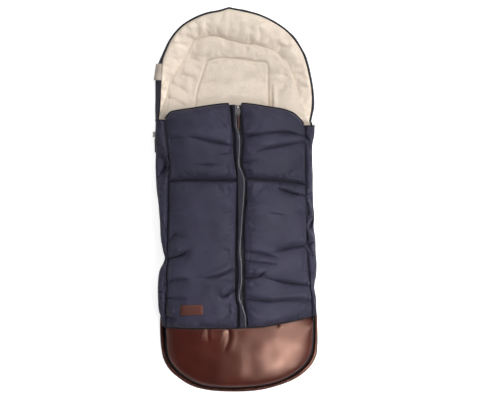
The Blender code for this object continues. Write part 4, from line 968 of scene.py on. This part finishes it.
def make_side_zip():
    """Both halves of the side zip, an upright tape and a coil each, and the upper half's flat edge."""
    line = side_zip_line()
    normal = normals(line)
    thick = 0.00105 + 0.00025 * np.cos(np.arange(len(line)) * math.pi)
    for name, body, tape_z, coil_z in (
        ("side_zip_lower", "back", (0.0056, 0.0100), 0.0112),
        ("side_zip_upper", "cover", (0.0151, 0.0197), 0.0139),
    ):
        faces = [line + offset * normal for offset in (0.0005, -0.0005)]
        faces = [grid(face[:, :1], face[:, 1:], np.array(tape_z)) for face in faces]
        tape = between(f"{name}_tape", *faces, mats["tape"])
        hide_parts(name)
        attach(tape, body)
        coil_line = np.column_stack([line, np.full(len(line), coil_z)])
        coil = cord(f"{name}_coil", coil_line, thick, mats["teeth"], sides=6)
        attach(coil, body)
    plan = line[:, None] + np.array([0.0008, -0.0030, -0.0060])[None, :, None] * normal[:, None]
    top, bottom = (grid(plan[..., 0], plan[..., 1], z) for z in (0.0203, 0.0196))
    flange = between("side_zip_flange", top, bottom, mats["tape"])
    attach(flange, "cover")


def seam_z(y):
    """Height of the seam between gusset and flap, which drops to the toe."""
    return 0.0715 - 0.0195 * (1 - ease(-0.335, -0.255, y))


def dome_z(x):
    """Height of the toe seam over x."""
    share = np.clip(abs(x) / 0.1945, 0, 0.9999)
    return DOME_Z + DOME_RISE * arch(share, 4.2) + DOME_CROWN * (1 - share**2)


def make_gusset(sign):
    """A padded side strip, which carries the flap's seam, and its lining."""
    side, seam = SIDES[sign], seams[sign]
    y_top = 0.2090 if sign < 0 else 0.1870
    ys = np.linspace(toe_y(sign * 0.19) + 0.0015, y_top, 170)
    high = seam_z(ys)
    at_toe = 1 - ease(-0.335, -0.285, ys)
    outline = mix(side_x(ys, sign) - sign * 0.0006, sign * 0.1990, at_toe)
    ridge_x = mix(ridges[sign](ys), sign * 0.1950, at_toe)
    pit = sum(depth * groove(ys - at, long) for at, long, depth in PITS[side])
    flat_part = ease(0.09, 0.14, ys) * (sign < 0)
    corners = (
        (seam(ys) - sign * 0.0016, high - 0.0056 + 0.0040 * flat_part),
        (seam(ys) + sign * 0.0004, high - 0.0040 + 0.0030 * flat_part),
        (mix(seam(ys), ridge_x, 0.22), high - 0.0008),
        (mix(seam(ys), ridge_x, 0.50), high + 0.0020),
        (ridge_x, mix(high - 0.0030, high - 0.006, at_toe)),
        (mix(ridge_x, outline, 0.30), mix(0.0640, 0.0420, at_toe) - pit),
        (mix(ridge_x, outline, 0.78), mix(0.0540, 0.0380, at_toe) - 0.3 * pit),
        (outline, mix(0.0400, 0.0310, at_toe)),
        (outline - sign * 0.0010, 0.0275),
        (outline - sign * 0.0042, COVER_Z),
    )
    guide = np.stack([np.column_stack(np.broadcast_arrays(*corner)) for corner in corners], 1)
    sections = np.array([through(line, 30) for line in guide])
    step = np.gradient(sections, axis=1)
    normal = np.stack([step[..., 1], -step[..., 0]], -1) * sign
    normal /= np.linalg.norm(normal, axis=-1)[..., None]
    normal *= np.where((normal[..., :1] * sign + normal[..., 1:]).mean() < 0, -1.0, 1.0)
    share = np.linspace(0, 1, 30)[None]
    place = ys[:, None] + 0 * share
    puff = 0.0012 * ripple(share * 0.02, place, 0.075, 31 + int(sign)) * np.sin(share * math.pi)
    outer = sections + normal * puff[..., None]
    inner = sections - normal * 0.0046
    lining = sections - normal * 0.0049, sections - normal * 0.0068
    outer[..., 1] = np.maximum(outer[..., 1], COVER_Z)
    length = ys[-1] - ys[0]
    from_ends = ease(0, 0.05, (place - ys[0]) / length) * ease(0, 0.03, (ys[-1] - place) / length)
    free = ease(0.02, 0.15, share) * ease(0.45, 0.60, 1 - share) * from_ends
    outer = grid(outer[..., 0], place, outer[..., 1])
    outer = stuffed(outer, 1 - free, cap=0.0025, slack=0.06, out=(sign, 0, 1))
    for line in lining:
        line[..., 1] -= 0.0050 * (1 - ease(0.2, 0.6, share))
    for line in (inner, *lining):
        line[..., 1] = np.maximum(line[..., 1], COVER_Z)
        line[..., 0] = sign * np.maximum(sign * line[..., 0], sign * seam(ys)[:, None] + 0.0004)
    pad = between(f"gusset_pad_{side}", outer, grid(inner[..., 0], place, inner[..., 1]), mats["navy"])

    def folded(places):
        x, y, z = places.T
        top = ease(0.030, 0.050, z) * ease(0.0005, 0.0030, abs(x - seam(y)))
        return np.column_stack([x, y, z + 1.6 * pressed(x, y, FOLDS_GUSSETS) * top])

    sculpt(pad, folded, levels=1)
    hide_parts(f"gusset_{side}")
    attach(pad, "cover")
    z = np.linspace(0.0202, 0.0490, 20)
    xs = np.linspace(0.120, 0.1944, 400)
    at_dome = np.minimum(np.interp(z, dome_z(xs)[::-1], xs[::-1]), 0.1894 if sign < 0 else 0.1922)
    crest = 8 + int(np.argmax(outer[0, 8:, 2]))
    at_gusset = abs(np.interp(z, outer[0, crest:, 2][::-1], outer[0, crest:, 0][::-1]))
    across = np.linspace(0, 1, 7)[:, None]
    x = mix(at_dome - 0.0008, at_gusset, across**0.7) * sign
    y = mix(toe_y(sign * at_dome) - 0.0012, ys[0] + 0.0012, across)
    corner = between(f"toe_corner_{side}", grid(x, y, z), grid(x - sign * 0.0020, y, z), mats["hem"])
    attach(corner, "cover")
    hem = cord(f"gusset_hem_{side}", outer[-1, :20] + (0, 0.0004, 0.0006), 0.0016, mats["hem"])
    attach(hem, "cover")
    shown = slice(14, -2), slice(4, -4)
    layers = (grid(line[..., 0], place, line[..., 1])[shown] for line in lining)
    inside = between(f"gusset_inside_{side}", *layers, mats["cream"])
    sculpt(inside, folded)
    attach(inside, "cover")


def flap_plan(sign, u, v):
    """Plan of a flap: u runs from gusset seam to zip, v from the toe over the cross seam to the neck."""
    y = mix(-0.330, 0.245, v) + 0 * u
    for _ in range(5):
        x = mix(seams[sign](y), edges[sign](y), u)
        lower = mix(toe_y(x), cross_y(x), np.clip(v / CROSS_AT, 0, 1))
        upper = mix(cross_y(x), neck_y(x), np.clip((v - CROSS_AT) / (1 - CROSS_AT), 0, 1))
        y = np.where(v < CROSS_AT, lower, upper)
    return x, y


def flap_under(sign, x, y):
    """Height of a flap's underside."""
    seam_x, low = seams[sign](y), seam_z(y) - 0.0050
    share = np.clip((x - seam_x) / (edges[sign](y) - seam_x), 0, 1)
    return low + (0.0891 - low) * (1 - (1 - share) ** 1.8)


def make_flap(sign):
    """One flap: the quilted pad of both panels, its cream lining and the turned hem at the neck."""
    side, seam, edge = SIDES[sign], seams[sign], edges[sign]
    u = (1 - (1 - np.linspace(0, 1, 58)) ** 1.15)[None]
    lower, upper = np.linspace(0, 1, 122)[:-1], np.linspace(0, 1, 72)
    v = [CROSS_AT * (1 - (1 - lower) ** 1.2), CROSS_AT + PAST_CROSS * upper**1.2]
    v = np.concatenate(v)[:, None]
    x, y = flap_plan(sign, u, v)
    under = flap_under(sign, x, y)
    to_zip, to_seam = abs(edge(y) - x), abs(x - seam(y))
    to_cross, to_neck, to_toe = y - cross_y(x), neck_y(x) - y, y - toe_y(x)
    cross = mix(0.02, 1.0, np.where(to_cross > 0, swell(to_cross, 0.020, 2.2), swell(-to_cross, 0.046, 1.8)))
    plump = 0.0176 * swell(to_zip, 0.018 if sign < 0 else 0.034, 2.3) * cross
    plump = plump * swell(to_neck, 0.026) * swell(to_toe, 0.030)
    plump *= mix(0.35 * swell(to_seam, 0.008), 1.0, swell(to_seam, 0.060, 1.6))
    z = under + PAD_LIFT + plump
    near_toe = 1 - ease(0, 0.045, to_toe)
    z += (dome_z(x) - 0.0010 - (under + PAD_LIFT)) * near_toe
    z -= 0.0032 * (1 - swell(to_seam, 0.009)) * (1 - near_toe) * (1 - 0.8 * ease(0.09, 0.14, y) * (sign < 0))
    z = np.maximum(z, under + 0.0008)
    to_any = np.minimum.reduce([to_zip, to_seam, abs(to_cross), to_neck, to_toe])
    top = stuffed(grid(x, y, z), 1 - ease(0.001, 0.012, to_any), cap=0.0055, slack=0.06)
    pad = between(f"flap_pad_{side}", top, grid(x, y, under), mats["navy"])

    def folded(places):
        x, y, z = places.T
        under = flap_under(sign, x, y)
        inside = swell(abs(edge(y) - x), 0.006) * swell(abs(x - seam(y)), 0.005)
        inside = inside * ease(0.001, 0.0035, z - under)
        to_cross = y - cross_y(x)
        crumple = 0.0011 * ripple(x, y, 0.050, 41 + int(sign)) * swell(abs(to_cross), 0.02)
        z = z + (2.4 * pressed(x, y, FOLDS_LEFT if sign < 0 else FOLDS_RIGHT) + crumple) * inside
        z = z - 0.0056 * groove(to_cross, 0.0046) * ease(0.001, 0.004, z - under)
        return np.column_stack([x, y, np.maximum(z, under)])

    sculpt(pad, folded, levels=1)
    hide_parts(f"panel_{side}_upper", f"panel_{side}_lower")

    covered = (0.1767 - (0.0196 if sign < 0 else 0.0270)) / 0.1767
    x, y = flap_plan(sign, np.linspace(0.012, covered, 34)[None], np.linspace(0.006, 0.994, 110)[:, None])
    under = flap_under(sign, x, y)
    hang = 0.0020 * swell(abs(x - seam(y)), 0.02) * swell(abs(y - cross_y(x)), 0.02)
    top, bottom = grid(x, y, under - 0.0003), grid(x, y, under - 0.0030 - hang)
    lining = between(f"flap_inside_{side}", top, bottom, mats["cream"])
    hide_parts(f"flap_lining_{side}")
    ride_flap(lining)

    xs = np.linspace(seam(0.2), edge(0.24), 90)[1:-1]
    line = np.column_stack([xs, neck_y(xs) + 0.0010, flap_under(sign, xs, neck_y(xs)) + 0.0022])
    hem = cord(f"neck_hem_{side}", line, 0.0023, mats["hem"])
    ride_flap(hem)
    return pad


def make_fold_strips(sign):
    """Cloth between gusset and flap, in short lengths.

    Its outer edge lies on the gusset and its inner edge under the flap.
    """
    side, seam = SIDES[sign], seams[sign]
    out, into = 0.0055, 0.0075
    low_end, high_end = FLAP_BEND
    neck = 0.2080 if sign < 0 else 0.1860
    foot = float(toe_y(sign * 0.19)) + 0.0035
    limits = np.concatenate([np.linspace(foot, high_end, 9), np.linspace(high_end, neck, 5)[1:]])
    for k, (low, high) in enumerate(zip(limits[:-1], limits[1:])):
        ys = np.linspace(low - 0.0008, high + 0.0008, 24)[:, None]
        across = np.linspace(-out, into, 14)[None]
        x = seam(ys) - sign * across
        z = mix(seam_z(ys) - 0.0100, flap_under(sign, x, ys) - 0.0006, ease(-out, 0.001, across))
        strip = between(f"fold_strip_{side}_{k}", grid(x, ys, z), grid(x, ys, z - 0.0006), mats["navy"])
        lean = (seam(high) - seam(low)) / (high - low)
        start = np.array([seam(high) + sign * out, high])
        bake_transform(strip)


def tree_of(piece):
    mesh = piece.data
    return BVHTree.FromPolygons([v.co.copy() for v in mesh.vertices], [f.vertices[:] for f in mesh.polygons])


def height_on(trees, x, y):
    """Height of the topmost piece at a place, and None beside the pieces."""
    hits = [tree.ray_cast(Vector((x, y, 1.0)), Vector((0, 0, -1)))[0] for tree in trees]
    return max((hit.z for hit in hits if hit is not None), default=None)


def laid(line, trees, lift):
    """A line of (x, y) laid on top of pieces, as runs without gaps."""
    runs, run = [], []
    for x, y in line:
        height = height_on(trees, x, y)
        if height is not None:
            run.append((x, y, height + lift))
        elif run:
            runs.append(run)
            run = []
    return [run for run in [*runs, run] if len(run) > 3]


def make_zip():
    """Both zip tapes and their rows of teeth, which mesh in the middle."""
    pitch, low, high = 0.00275, -0.2895, 0.2355
    for sign, side in SIDES.items():
        ys = np.linspace(-0.319, 0.2428, 150)[:, None]
        x = mix(ZIP_X + sign * 0.0011, -0.0186 if sign < 0 else 0.0256, np.linspace(0, 1, 8)[None])
        top, bottom = grid(x, ys, TAPE_Z + 0.0008), grid(x, ys, TAPE_Z)
        tape = between(f"zip_tape_{side}_cloth", top, bottom, mats["tape"])
        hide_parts(f"zip_tape_{side}")
        ride_flap(tape)

        points, faces = [], []
        root, tip, head = ZIP_X + sign * 0.0036, ZIP_X - sign * 0.0008, ZIP_X + sign * 0.0006
        outline = ((root, 0.00075), (head, 0.00075), (head - sign * 0.0006, 0.0011), (tip, 0.0008))
        for k in range(int((high - low) / pitch / 2)):
            y = low + pitch * (2 * k + (0.5 if sign > 0 else 1.5))
            base = len(points)
            for z in (0.0869, 0.0899):
                points += [(a, y + b, z) for a, b in outline] + [(a, y - b, z) for a, b in reversed(outline)]
            faces.append(tuple(base + i for i in range(8)))
            faces.append(tuple(base + 8 + i for i in reversed(range(8))))
            faces += [(base + i, base + (i + 1) % 8, base + 8 + (i + 1) % 8, base + 8 + i) for i in range(8)]
        chain = mesh_object(f"zip_teeth_{side}", points, faces, mats["teeth"], smooth=False)
        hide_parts(f"zip_chain_{side}")
        ride_flap(chain)


def make_placket():
    """The wind strip over the zip, held by the left flap, darkened as painted shade, with a rolled fold
    along its free edge, pale grey as a painted highlight.
    """
    ys = np.linspace(-0.3290, 0.2446, 240)[:, None]
    share = np.linspace(0, 1, 16)[None]
    left, right = edges[-1](ys) - 0.0012, fold_x(ys) - 0.0004
    x = mix(left, right, share)
    rise = ease(0.30, 1.0, (x - left) / (np.minimum(0.0040, mix(left, right, 0.7)) - left))
    under = mix(0.0894, 0.0958, rise)
    crown = 0.0012 * np.sin(share * math.pi) + 0.0016
    crown = crown + 0.0007 * ripple(x, ys, 0.045, 51, along=1.6) * np.sin(share * math.pi)
    close = 1 - ease(-0.325, -0.270, ys)
    top = mix(under + crown, under + 0.0014, close)
    # The strip's darkened navy is painted shade
    strip = between("placket_strip", grid(x, ys, top), grid(x, ys, under), mats["navy_painted_shade"])
    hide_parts("placket")
    ys = np.linspace(-0.3280, 0.2440, 330)
    line = np.column_stack([fold_x(ys) + 0.0006, ys, np.full_like(ys, 0.0971)])
    # The roll's pale grey is a painted highlight
    roll = cord("placket_roll", line, 0.0013, mats["piping"])
    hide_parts("placket_piping")
    ride_flap(roll)
    return strip


def make_toe():
    """The leather toe: a bulging dome with its lining, the piped seam above it, and a near-black cord at its
    foot as painted shade.
    """
    foot = reading(DOME_FOOT)
    phi = np.linspace(-math.pi / 2, math.pi / 2, 190)[None]
    x = 0.1908 * np.sin(phi) + 0.0014
    y_seam = toe_y(x)
    y_foot = np.minimum(foot(x * 1.010) + 0.0024, y_seam - 0.0005)
    share, to_right = np.clip(abs(x) / 0.1930, 0, 0.9999), ease(-0.12, 0.10, x)
    fine = np.linspace(0, 1, 6000) ** 0.4
    out, up = np.zeros((84, x.shape[1])), np.zeros((84, x.shape[1]))
    for column, power in enumerate(mix(10.0, 13.0, to_right)[0]):
        profile = 0.82 * arch(fine, power) + 0.18 * (1 - fine**2)
        run = np.concatenate([[0], np.cumsum(np.hypot(np.diff(fine) * 0.15, np.diff(profile) * 0.07))])
        even = np.linspace(0, run[-1], 84)
        out[:, column], up[:, column] = np.interp(even, run, fine), np.interp(even, run, profile)
    boxy = DOME_Z + DOME_RISE * arch(share, mix(7.0, 12.0, to_right)) + DOME_CROWN
    boxy = np.maximum(boxy - mix(0.0420, 0.0300, to_right) * share**2, DOME_Z)
    high = mix(dome_z(x), boxy, ease(0.0, 0.35, out))
    y = y_seam + (y_foot - y_seam) * out
    x = x + 0 * y
    inside = swell(out, 0.12) * ease(0.0, 0.35, up)
    bulge = 0.0024 * np.sin(out**1.2 * math.pi) * np.cos(phi) ** 0.7
    z = DOME_Z + (high - DOME_Z) * up
    z = z + bulge * inside + pressed(x, y, FOLDS_TOE) * ease(0.0, 0.35, up)
    z = z + 0.0006 * ripple(x, y, 0.075, 61) * inside
    z = np.maximum(z - 0.0012 * (1 - ease(0, 0.006, y_seam - y)), DOME_Z)
    thick = 0.0035
    inner_x = x * (1 - thick / 0.19)
    inner_y = np.minimum(y + thick * out, y_seam)
    inner_z = np.maximum(z - thick * np.maximum(up, 0.02), DOME_Z)
    dome = between("toe_dome", grid(x, y, z), grid(inner_x, inner_y, inner_z), mats["brown"])
    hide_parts("toe_box")
    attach(dome, "cover")
    pick = (slice(3, -2, 2), slice(4, -4, 2))
    lining = between(
        "toe_inside",
        grid(inner_x * 0.995, inner_y + 0.0004, np.maximum(inner_z - 0.0004, 0.0202))[pick],
        grid(inner_x * 0.982, inner_y + 0.0024, np.maximum(inner_z - 0.0024, DOME_Z))[pick],
        mats["cream"],
    )
    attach(lining, "cover")
    # A near-black cord along the dome's foot: painted shade for the groove between dome and rim
    line = np.column_stack([x[-1] * 1.008, y[-1] - 0.0016, np.full_like(x[-1], 0.0218)])
    hem = cord("toe_foot_shade_cord", line, 0.0017, mats["hem"])
    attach(hem, "cover")
    # The toe piping is a real piping in near-black: its colour is painted shade for the seam's groove
    xs = np.linspace(-0.1925, 0.1935, 260)
    line = np.column_stack([xs, toe_y(xs) + 0.0003, dome_z(xs) + 0.0004])
    piping = cord("toe_piping", line, 0.0019, mats["hem"])
    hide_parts("toe_seam_piping")
    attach(piping, "cover")
    return dome


def make_foot_rim():
    """The rolled leather rim round the toe, and the leather sole under it."""
    outer, foot = through(RIM_OUTER, 300), through(DOME_FOOT, 600)
    nearest = np.argmin(((outer[:, None] - foot[None]) ** 2).sum(-1), axis=1)
    gap = foot[nearest] - outer
    wide = np.linalg.norm(gap, axis=1)[:, None]
    inner = relaxed(outer + gap * np.where(wide > 0.006, 1 - 0.0030 / wide, 0.4), 6)
    turn = np.linspace(-0.15, math.pi + 0.15, 16)
    ring = outer[:, None] + (inner - outer)[:, None] * ((1 - np.cos(turn)) / 2)[:, None]
    high = 0.0090 + 0.0004 * ripple(*outer.T, 0.035, 71)
    high = mix(0.0030, high, inward(np.linspace(0, 1, 300), 0.03))[:, None]
    z = 0.0053 + high * np.clip(np.sin(np.clip(turn, 0, math.pi)), 0, 1) ** 0.62
    top, bottom = (grid(ring[..., 0], ring[..., 1], height) for height in (z, 0.0051))
    roll = between("foot_rim_roll", top, bottom, mats["brown"])
    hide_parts("foot_rim")
    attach(roll, "back")
    xs = 0.2042 * np.sin(np.linspace(-math.pi / 2, math.pi / 2, 120))[None]
    edge_y = reading(outer)
    y = mix(-0.3320, np.minimum(edge_y(xs), -0.3330), np.linspace(0, 1, 24)[:, None])
    x = xs + 0 * y
    z = 0.0012 - 0.0009 * swell(away(x, y, outer), 0.012)
    sole = between("sole_leather", grid(x, y, 0.0050), grid(x, y, z), mats["brown"])
    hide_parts("foot_sole")
    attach(sole, "back")


def make_patch(pads):
    """The blank leather patch on the left flap, with its stitched edge."""
    trees = [tree_of(pad) for pad in pads]
    wide, high, corner, turn = 0.0585, 0.0265, 0.0025, 0.025

    def placed(x, y):
        """A place on the patch, turned as it lies on the flap."""
        cos, sin = math.cos(turn), math.sin(turn)
        return -0.1205 + x * cos - y * sin, -0.2815 + x * sin + y * cos

    u, v = np.linspace(-1, 1, 40)[None], np.linspace(-1, 1, 20)[:, None]
    x, y = np.broadcast_arrays(u * wide / 2, v * high / 2)
    over_x, over_y = np.maximum(abs(x) - (wide / 2 - corner), 0), np.maximum(abs(y) - (high / 2 - corner), 0)
    pull = 1 - corner / np.maximum(np.hypot(over_x, over_y), corner)
    x, y = placed(x - np.sign(x) * over_x * pull, y - np.sign(y) * over_y * pull)
    z = np.array([[height_on(trees, *place) for place in row] for row in np.dstack([x, y])])
    z = mix(z, z.mean(), 0.15)
    rise = 0.0009 + 0.0012 * np.minimum(1 - abs(u) ** 8, 1 - abs(v) ** 6)
    patch = between("leather_label", grid(x, y, z + rise), grid(x, y, z + 0.0003), mats["patch"])
    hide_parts("leather_patch")
    corners = [(-1, -1), (1, -1), (1, 1), (-1, 1), (-1, -1)]
    in_x, in_y = wide / 2 - 0.0028, high / 2 - 0.0028
    line = []
    for (a, b), (c, d) in zip(corners[:-1], corners[1:]):
        line += [placed(mix(a, c, t) * in_x, mix(b, d, t) * in_y) for t in np.linspace(0, 1, 30)]
    runs = laid(line, [tree_of(patch)], 0.0001)
    thread = stitches("label_stitches", runs, mats["tan_thread"], long=0.0024, gap=0.0011, radius=0.0004)
    ride_flap(thread)
    ride_flap(patch)


def make_pull(name, stands_for, body, centre, size):
    """A plump leather tab, long in y. On the side puller it stands on edge."""
    wide, long, thick = size
    u, v = np.linspace(-1, 1, 16)[None], np.linspace(-1, 1, 44)[:, None]
    taper = 1 - 0.75 * np.clip((abs(v) - 0.86) / 0.14, 0, 1) ** 2.2
    half = wide / 2 * (1 - 0.12 * np.clip(-v, 0, 1) ** 2) * taper
    lift = 0.5 + 0.5 * (1 - abs(u) ** 4) * (1 - 0.5 * np.clip((abs(v) - 0.9) / 0.1, 0, 1))
    across, along, up = half * u, long / 2 * v, thick / 2 * lift
    faces = []
    for side in (1, -1):
        x, z = (-side * up, across) if body == "side_puller" else (across, side * up)
        faces.append(grid(centre[0] + x, centre[1] + along, centre[2] + z))
    tab = between(name, *faces, mats["dark_leather"])
    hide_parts(stands_for)
    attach(tab, body)


def make_side_slider():
    """The side zip's slider: a waisted plate with a raised bridge, whose nose shows beside the gusset."""
    u, v = np.linspace(-1, 1, 15)[None], np.linspace(-1, 1, 25)[:, None]
    long = 0.0075 * v + 0 * u
    wide = 0.0048 * (1 - 0.30 * (1 - v**2) ** 2) * (1 - 0.5 * np.clip((abs(v) - 0.8) / 0.2, 0, 1) ** 2) * u
    crown = 0.0030 + 0.0014 * (1 - u**2) * (1 - np.clip((abs(v) - 0.35) / 0.25, 0, 1) ** 2)
    x, y = -0.2114 + wide, 0.1740 + long
    top, bottom = grid(x, y, 0.0130 + crown * (1 - 0.3 * u**4)), grid(x, y, 0.0118)
    plate = between("side_slider_plate", top, bottom, mats["silver"])
    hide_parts("side_slider")
    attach(plate, "side_slider")


def make_stitching(pads, dome, strip):
    """Rows of stitches along the seams."""
    trees = [tree_of(pad) for pad in pads]
    for sign, side in SIDES.items():
        seam, edge = seams[sign], edges[sign]
        xs = np.linspace(seam(0.05) * 0.985, edge(0.05) + sign * 0.004, 150)
        lines = []
        for shift in (-0.0024, 0.0024):
            lines += laid(np.column_stack([xs, cross_y(xs) + shift]), trees, 0.00015)
        xs = np.linspace(seam(0.2) * 0.97, edge(0.2) + sign * 0.003, 150)
        lines += laid(np.column_stack([xs, neck_y(xs) - 0.0045]), trees, 0.00015)
        mine = [line for line in lines if line[0][0] * sign > 0]
        thread = stitches(f"panel_stitches_{side}", mine, mats["navy_thread"])
        ride_flap(thread)
    lines = []
    xs = np.linspace(-0.175, 0.175, 260)
    for shift in (0.0034, 0.0064):
        lines += laid(np.column_stack([xs, toe_y(xs) - shift]), [tree_of(dome)], 0.0001)
    thread = stitches("toe_stitches", lines, mats["brown_thread"], long=0.0034, gap=0.0014)
    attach(thread, "cover")
    lines = []
    ys = np.linspace(-0.326, -0.288, 26)
    for share in (0.30, 0.62):
        xs = mix(edges[-1](ys), fold_x(ys), share)
        lines += laid(np.column_stack([xs, ys]), [tree_of(strip)], 0.0001)
    thread = stitches("placket_stitches", lines, mats["navy_thread"])
    ride_flap(thread)


def ray_kinds(tree):
    """Whether a ray comes from the camera, and whether over a mirroring or see-through surface."""
    paths = tree.nodes.new("ShaderNodeLightPath").outputs
    mirrored = add_maths(tree, "MAXIMUM", paths["Is Glossy Ray"], paths["Is Transmission Ray"])
    return paths["Is Camera Ray"], mirrored


def make_stage():
    """White floor that keeps the shadow, soft light from the right, and the camera above."""
    points = [(-6, -6, -0.0006), (6, -6, -0.0006), (6, 6, -0.0006), (-6, 6, -0.0006)]
    floor_paint = bpy.data.materials.new("white floor")
    floor_paint.use_nodes = True
    tree = floor_paint.node_tree
    tree.nodes.clear()
    direct, mirrored = ray_kinds(tree)
    strengths = add_maths(tree, "MULTIPLY", direct, 0.76), add_maths(tree, "MULTIPLY", mirrored, 0.12)
    glow = add_node(tree, "ShaderNodeEmission", Strength=add_maths(tree, "ADD", *strengths))
    diffuse = add_node(tree, "ShaderNodeBsdfDiffuse", Color=(0.6, 0.6, 0.6, 1))
    both = add_node(tree, "ShaderNodeAddShader", i0=diffuse, i1=glow)
    tree.links.new(both, tree.nodes.new("ShaderNodeOutputMaterial").inputs[0])
    floor = mesh_object("floor", points, [(0, 1, 2, 3)], floor_paint, smooth=False)

    world = bpy.data.worlds.new("studio")
    bpy.context.scene.world = world
    world.use_nodes = True
    tree = world.node_tree
    tree.nodes.clear()
    fill = add_node(tree, "ShaderNodeBackground", Color=(0.97, 0.98, 1.0, 1), Strength=0.10)
    white = add_node(tree, "ShaderNodeBackground", Color=(1, 1, 1, 1), Strength=1.0)
    sky = add_node(tree, "ShaderNodeTexCoord", "Generated")
    height = add_node(tree, "ShaderNodeSeparateXYZ", "Z", i0=sky)
    near_horizon = {"From Min": 0.04, "From Max": 0.12, "To Min": 1.0, "To Max": 0.0}
    level = add_node(tree, "ShaderNodeMapRange", Value=height, **near_horizon)
    direct, mirrored = ray_kinds(tree)
    shown = add_maths(tree, "MAXIMUM", direct, add_maths(tree, "MULTIPLY", mirrored, level))
    pick = add_node(tree, "ShaderNodeMixShader", i0=shown, i1=fill, i2=white)
    tree.links.new(pick, tree.nodes.new("ShaderNodeOutputWorld").inputs[0])

    for name, place, aim, size, spread, power in (
        ("key", (1.60, 0.55, 2.40), (0, 0, 0), 1.5, 180, 46.0),
        ("toe light", (1.30, -1.20, 2.45), (0.12, -0.46, 0.05), 1.2, 23, 3.7),
        ("head fill", (-0.10, 1.75, 2.50), (0, 0, 0), 2.0, 180, 44.5),
    ):
        data = bpy.data.lights.new(name, "AREA")
        data.shape = "SQUARE"
        data.size = size
        data.spread = math.radians(spread)
        data.energy = power
        lamp = bpy.data.objects.new(name, data)
        lamp.location = place
        lamp.rotation_euler = (Vector(place) - Vector(aim)).to_track_quat("Z", "Y").to_euler()
        bpy.context.scene.collection.objects.link(lamp)

    data = bpy.data.cameras.new("camera")
    data.sensor_width = 36.0
    data.lens = 173.7
    camera = bpy.data.objects.new("camera", data)
    camera.location = (0.0090, -0.0008, 6.05)
    camera.rotation_euler = (0, 0, -0.0185)
    bpy.context.scene.collection.objects.link(camera)
    bpy.context.scene.camera = camera
    bpy.context.scene.view_settings.view_transform = "Standard"


def dress_nodes():
    """Materials for the CAD nodes that stay."""
    looks = {
        "centre_slider": "gunmetal", "centre_puller": "gunmetal", "side_puller": "silver",
        "top_stop_left": "metal", "top_stop_right": "metal", "zip_bottom_stop": "metal",
        "side_zip_box": "metal", "antislip_panel": "rubber",
    }
    for name, look in looks.items():
        for slot in nodes[name].material_slots:
            slot.material = mats[look]


make_stage()
make_back()
make_lining()
make_slot_edges()
make_hood_wall()
make_head_border()
make_hood_trim()
make_side_zip()
for sign in SIDES:
    make_gusset(sign)
pads = [make_flap(sign) for sign in SIDES]
for sign in SIDES:
    make_fold_strips(sign)
make_zip()
strip = make_placket()
dome = make_toe()
make_foot_rim()
make_patch(pads)
make_pull(
    "centre_pull_tab", "centre_puller_strap", "centre_puller",
    centre=(0.0085, 0.1994, 0.0931), size=(0.0048, 0.0360, 0.0036),
)
make_pull(
    "side_pull_tab", "side_puller_strap", "side_puller",
    centre=(-0.2093, 0.1452, 0.01255), size=(0.0070, 0.0360, 0.0036),
)
make_side_slider()
make_stitching(pads, dome, strip)
ride_flap(strip)
ride_flap(pads[0])
ride_flap(pads[1])
dress_nodes()
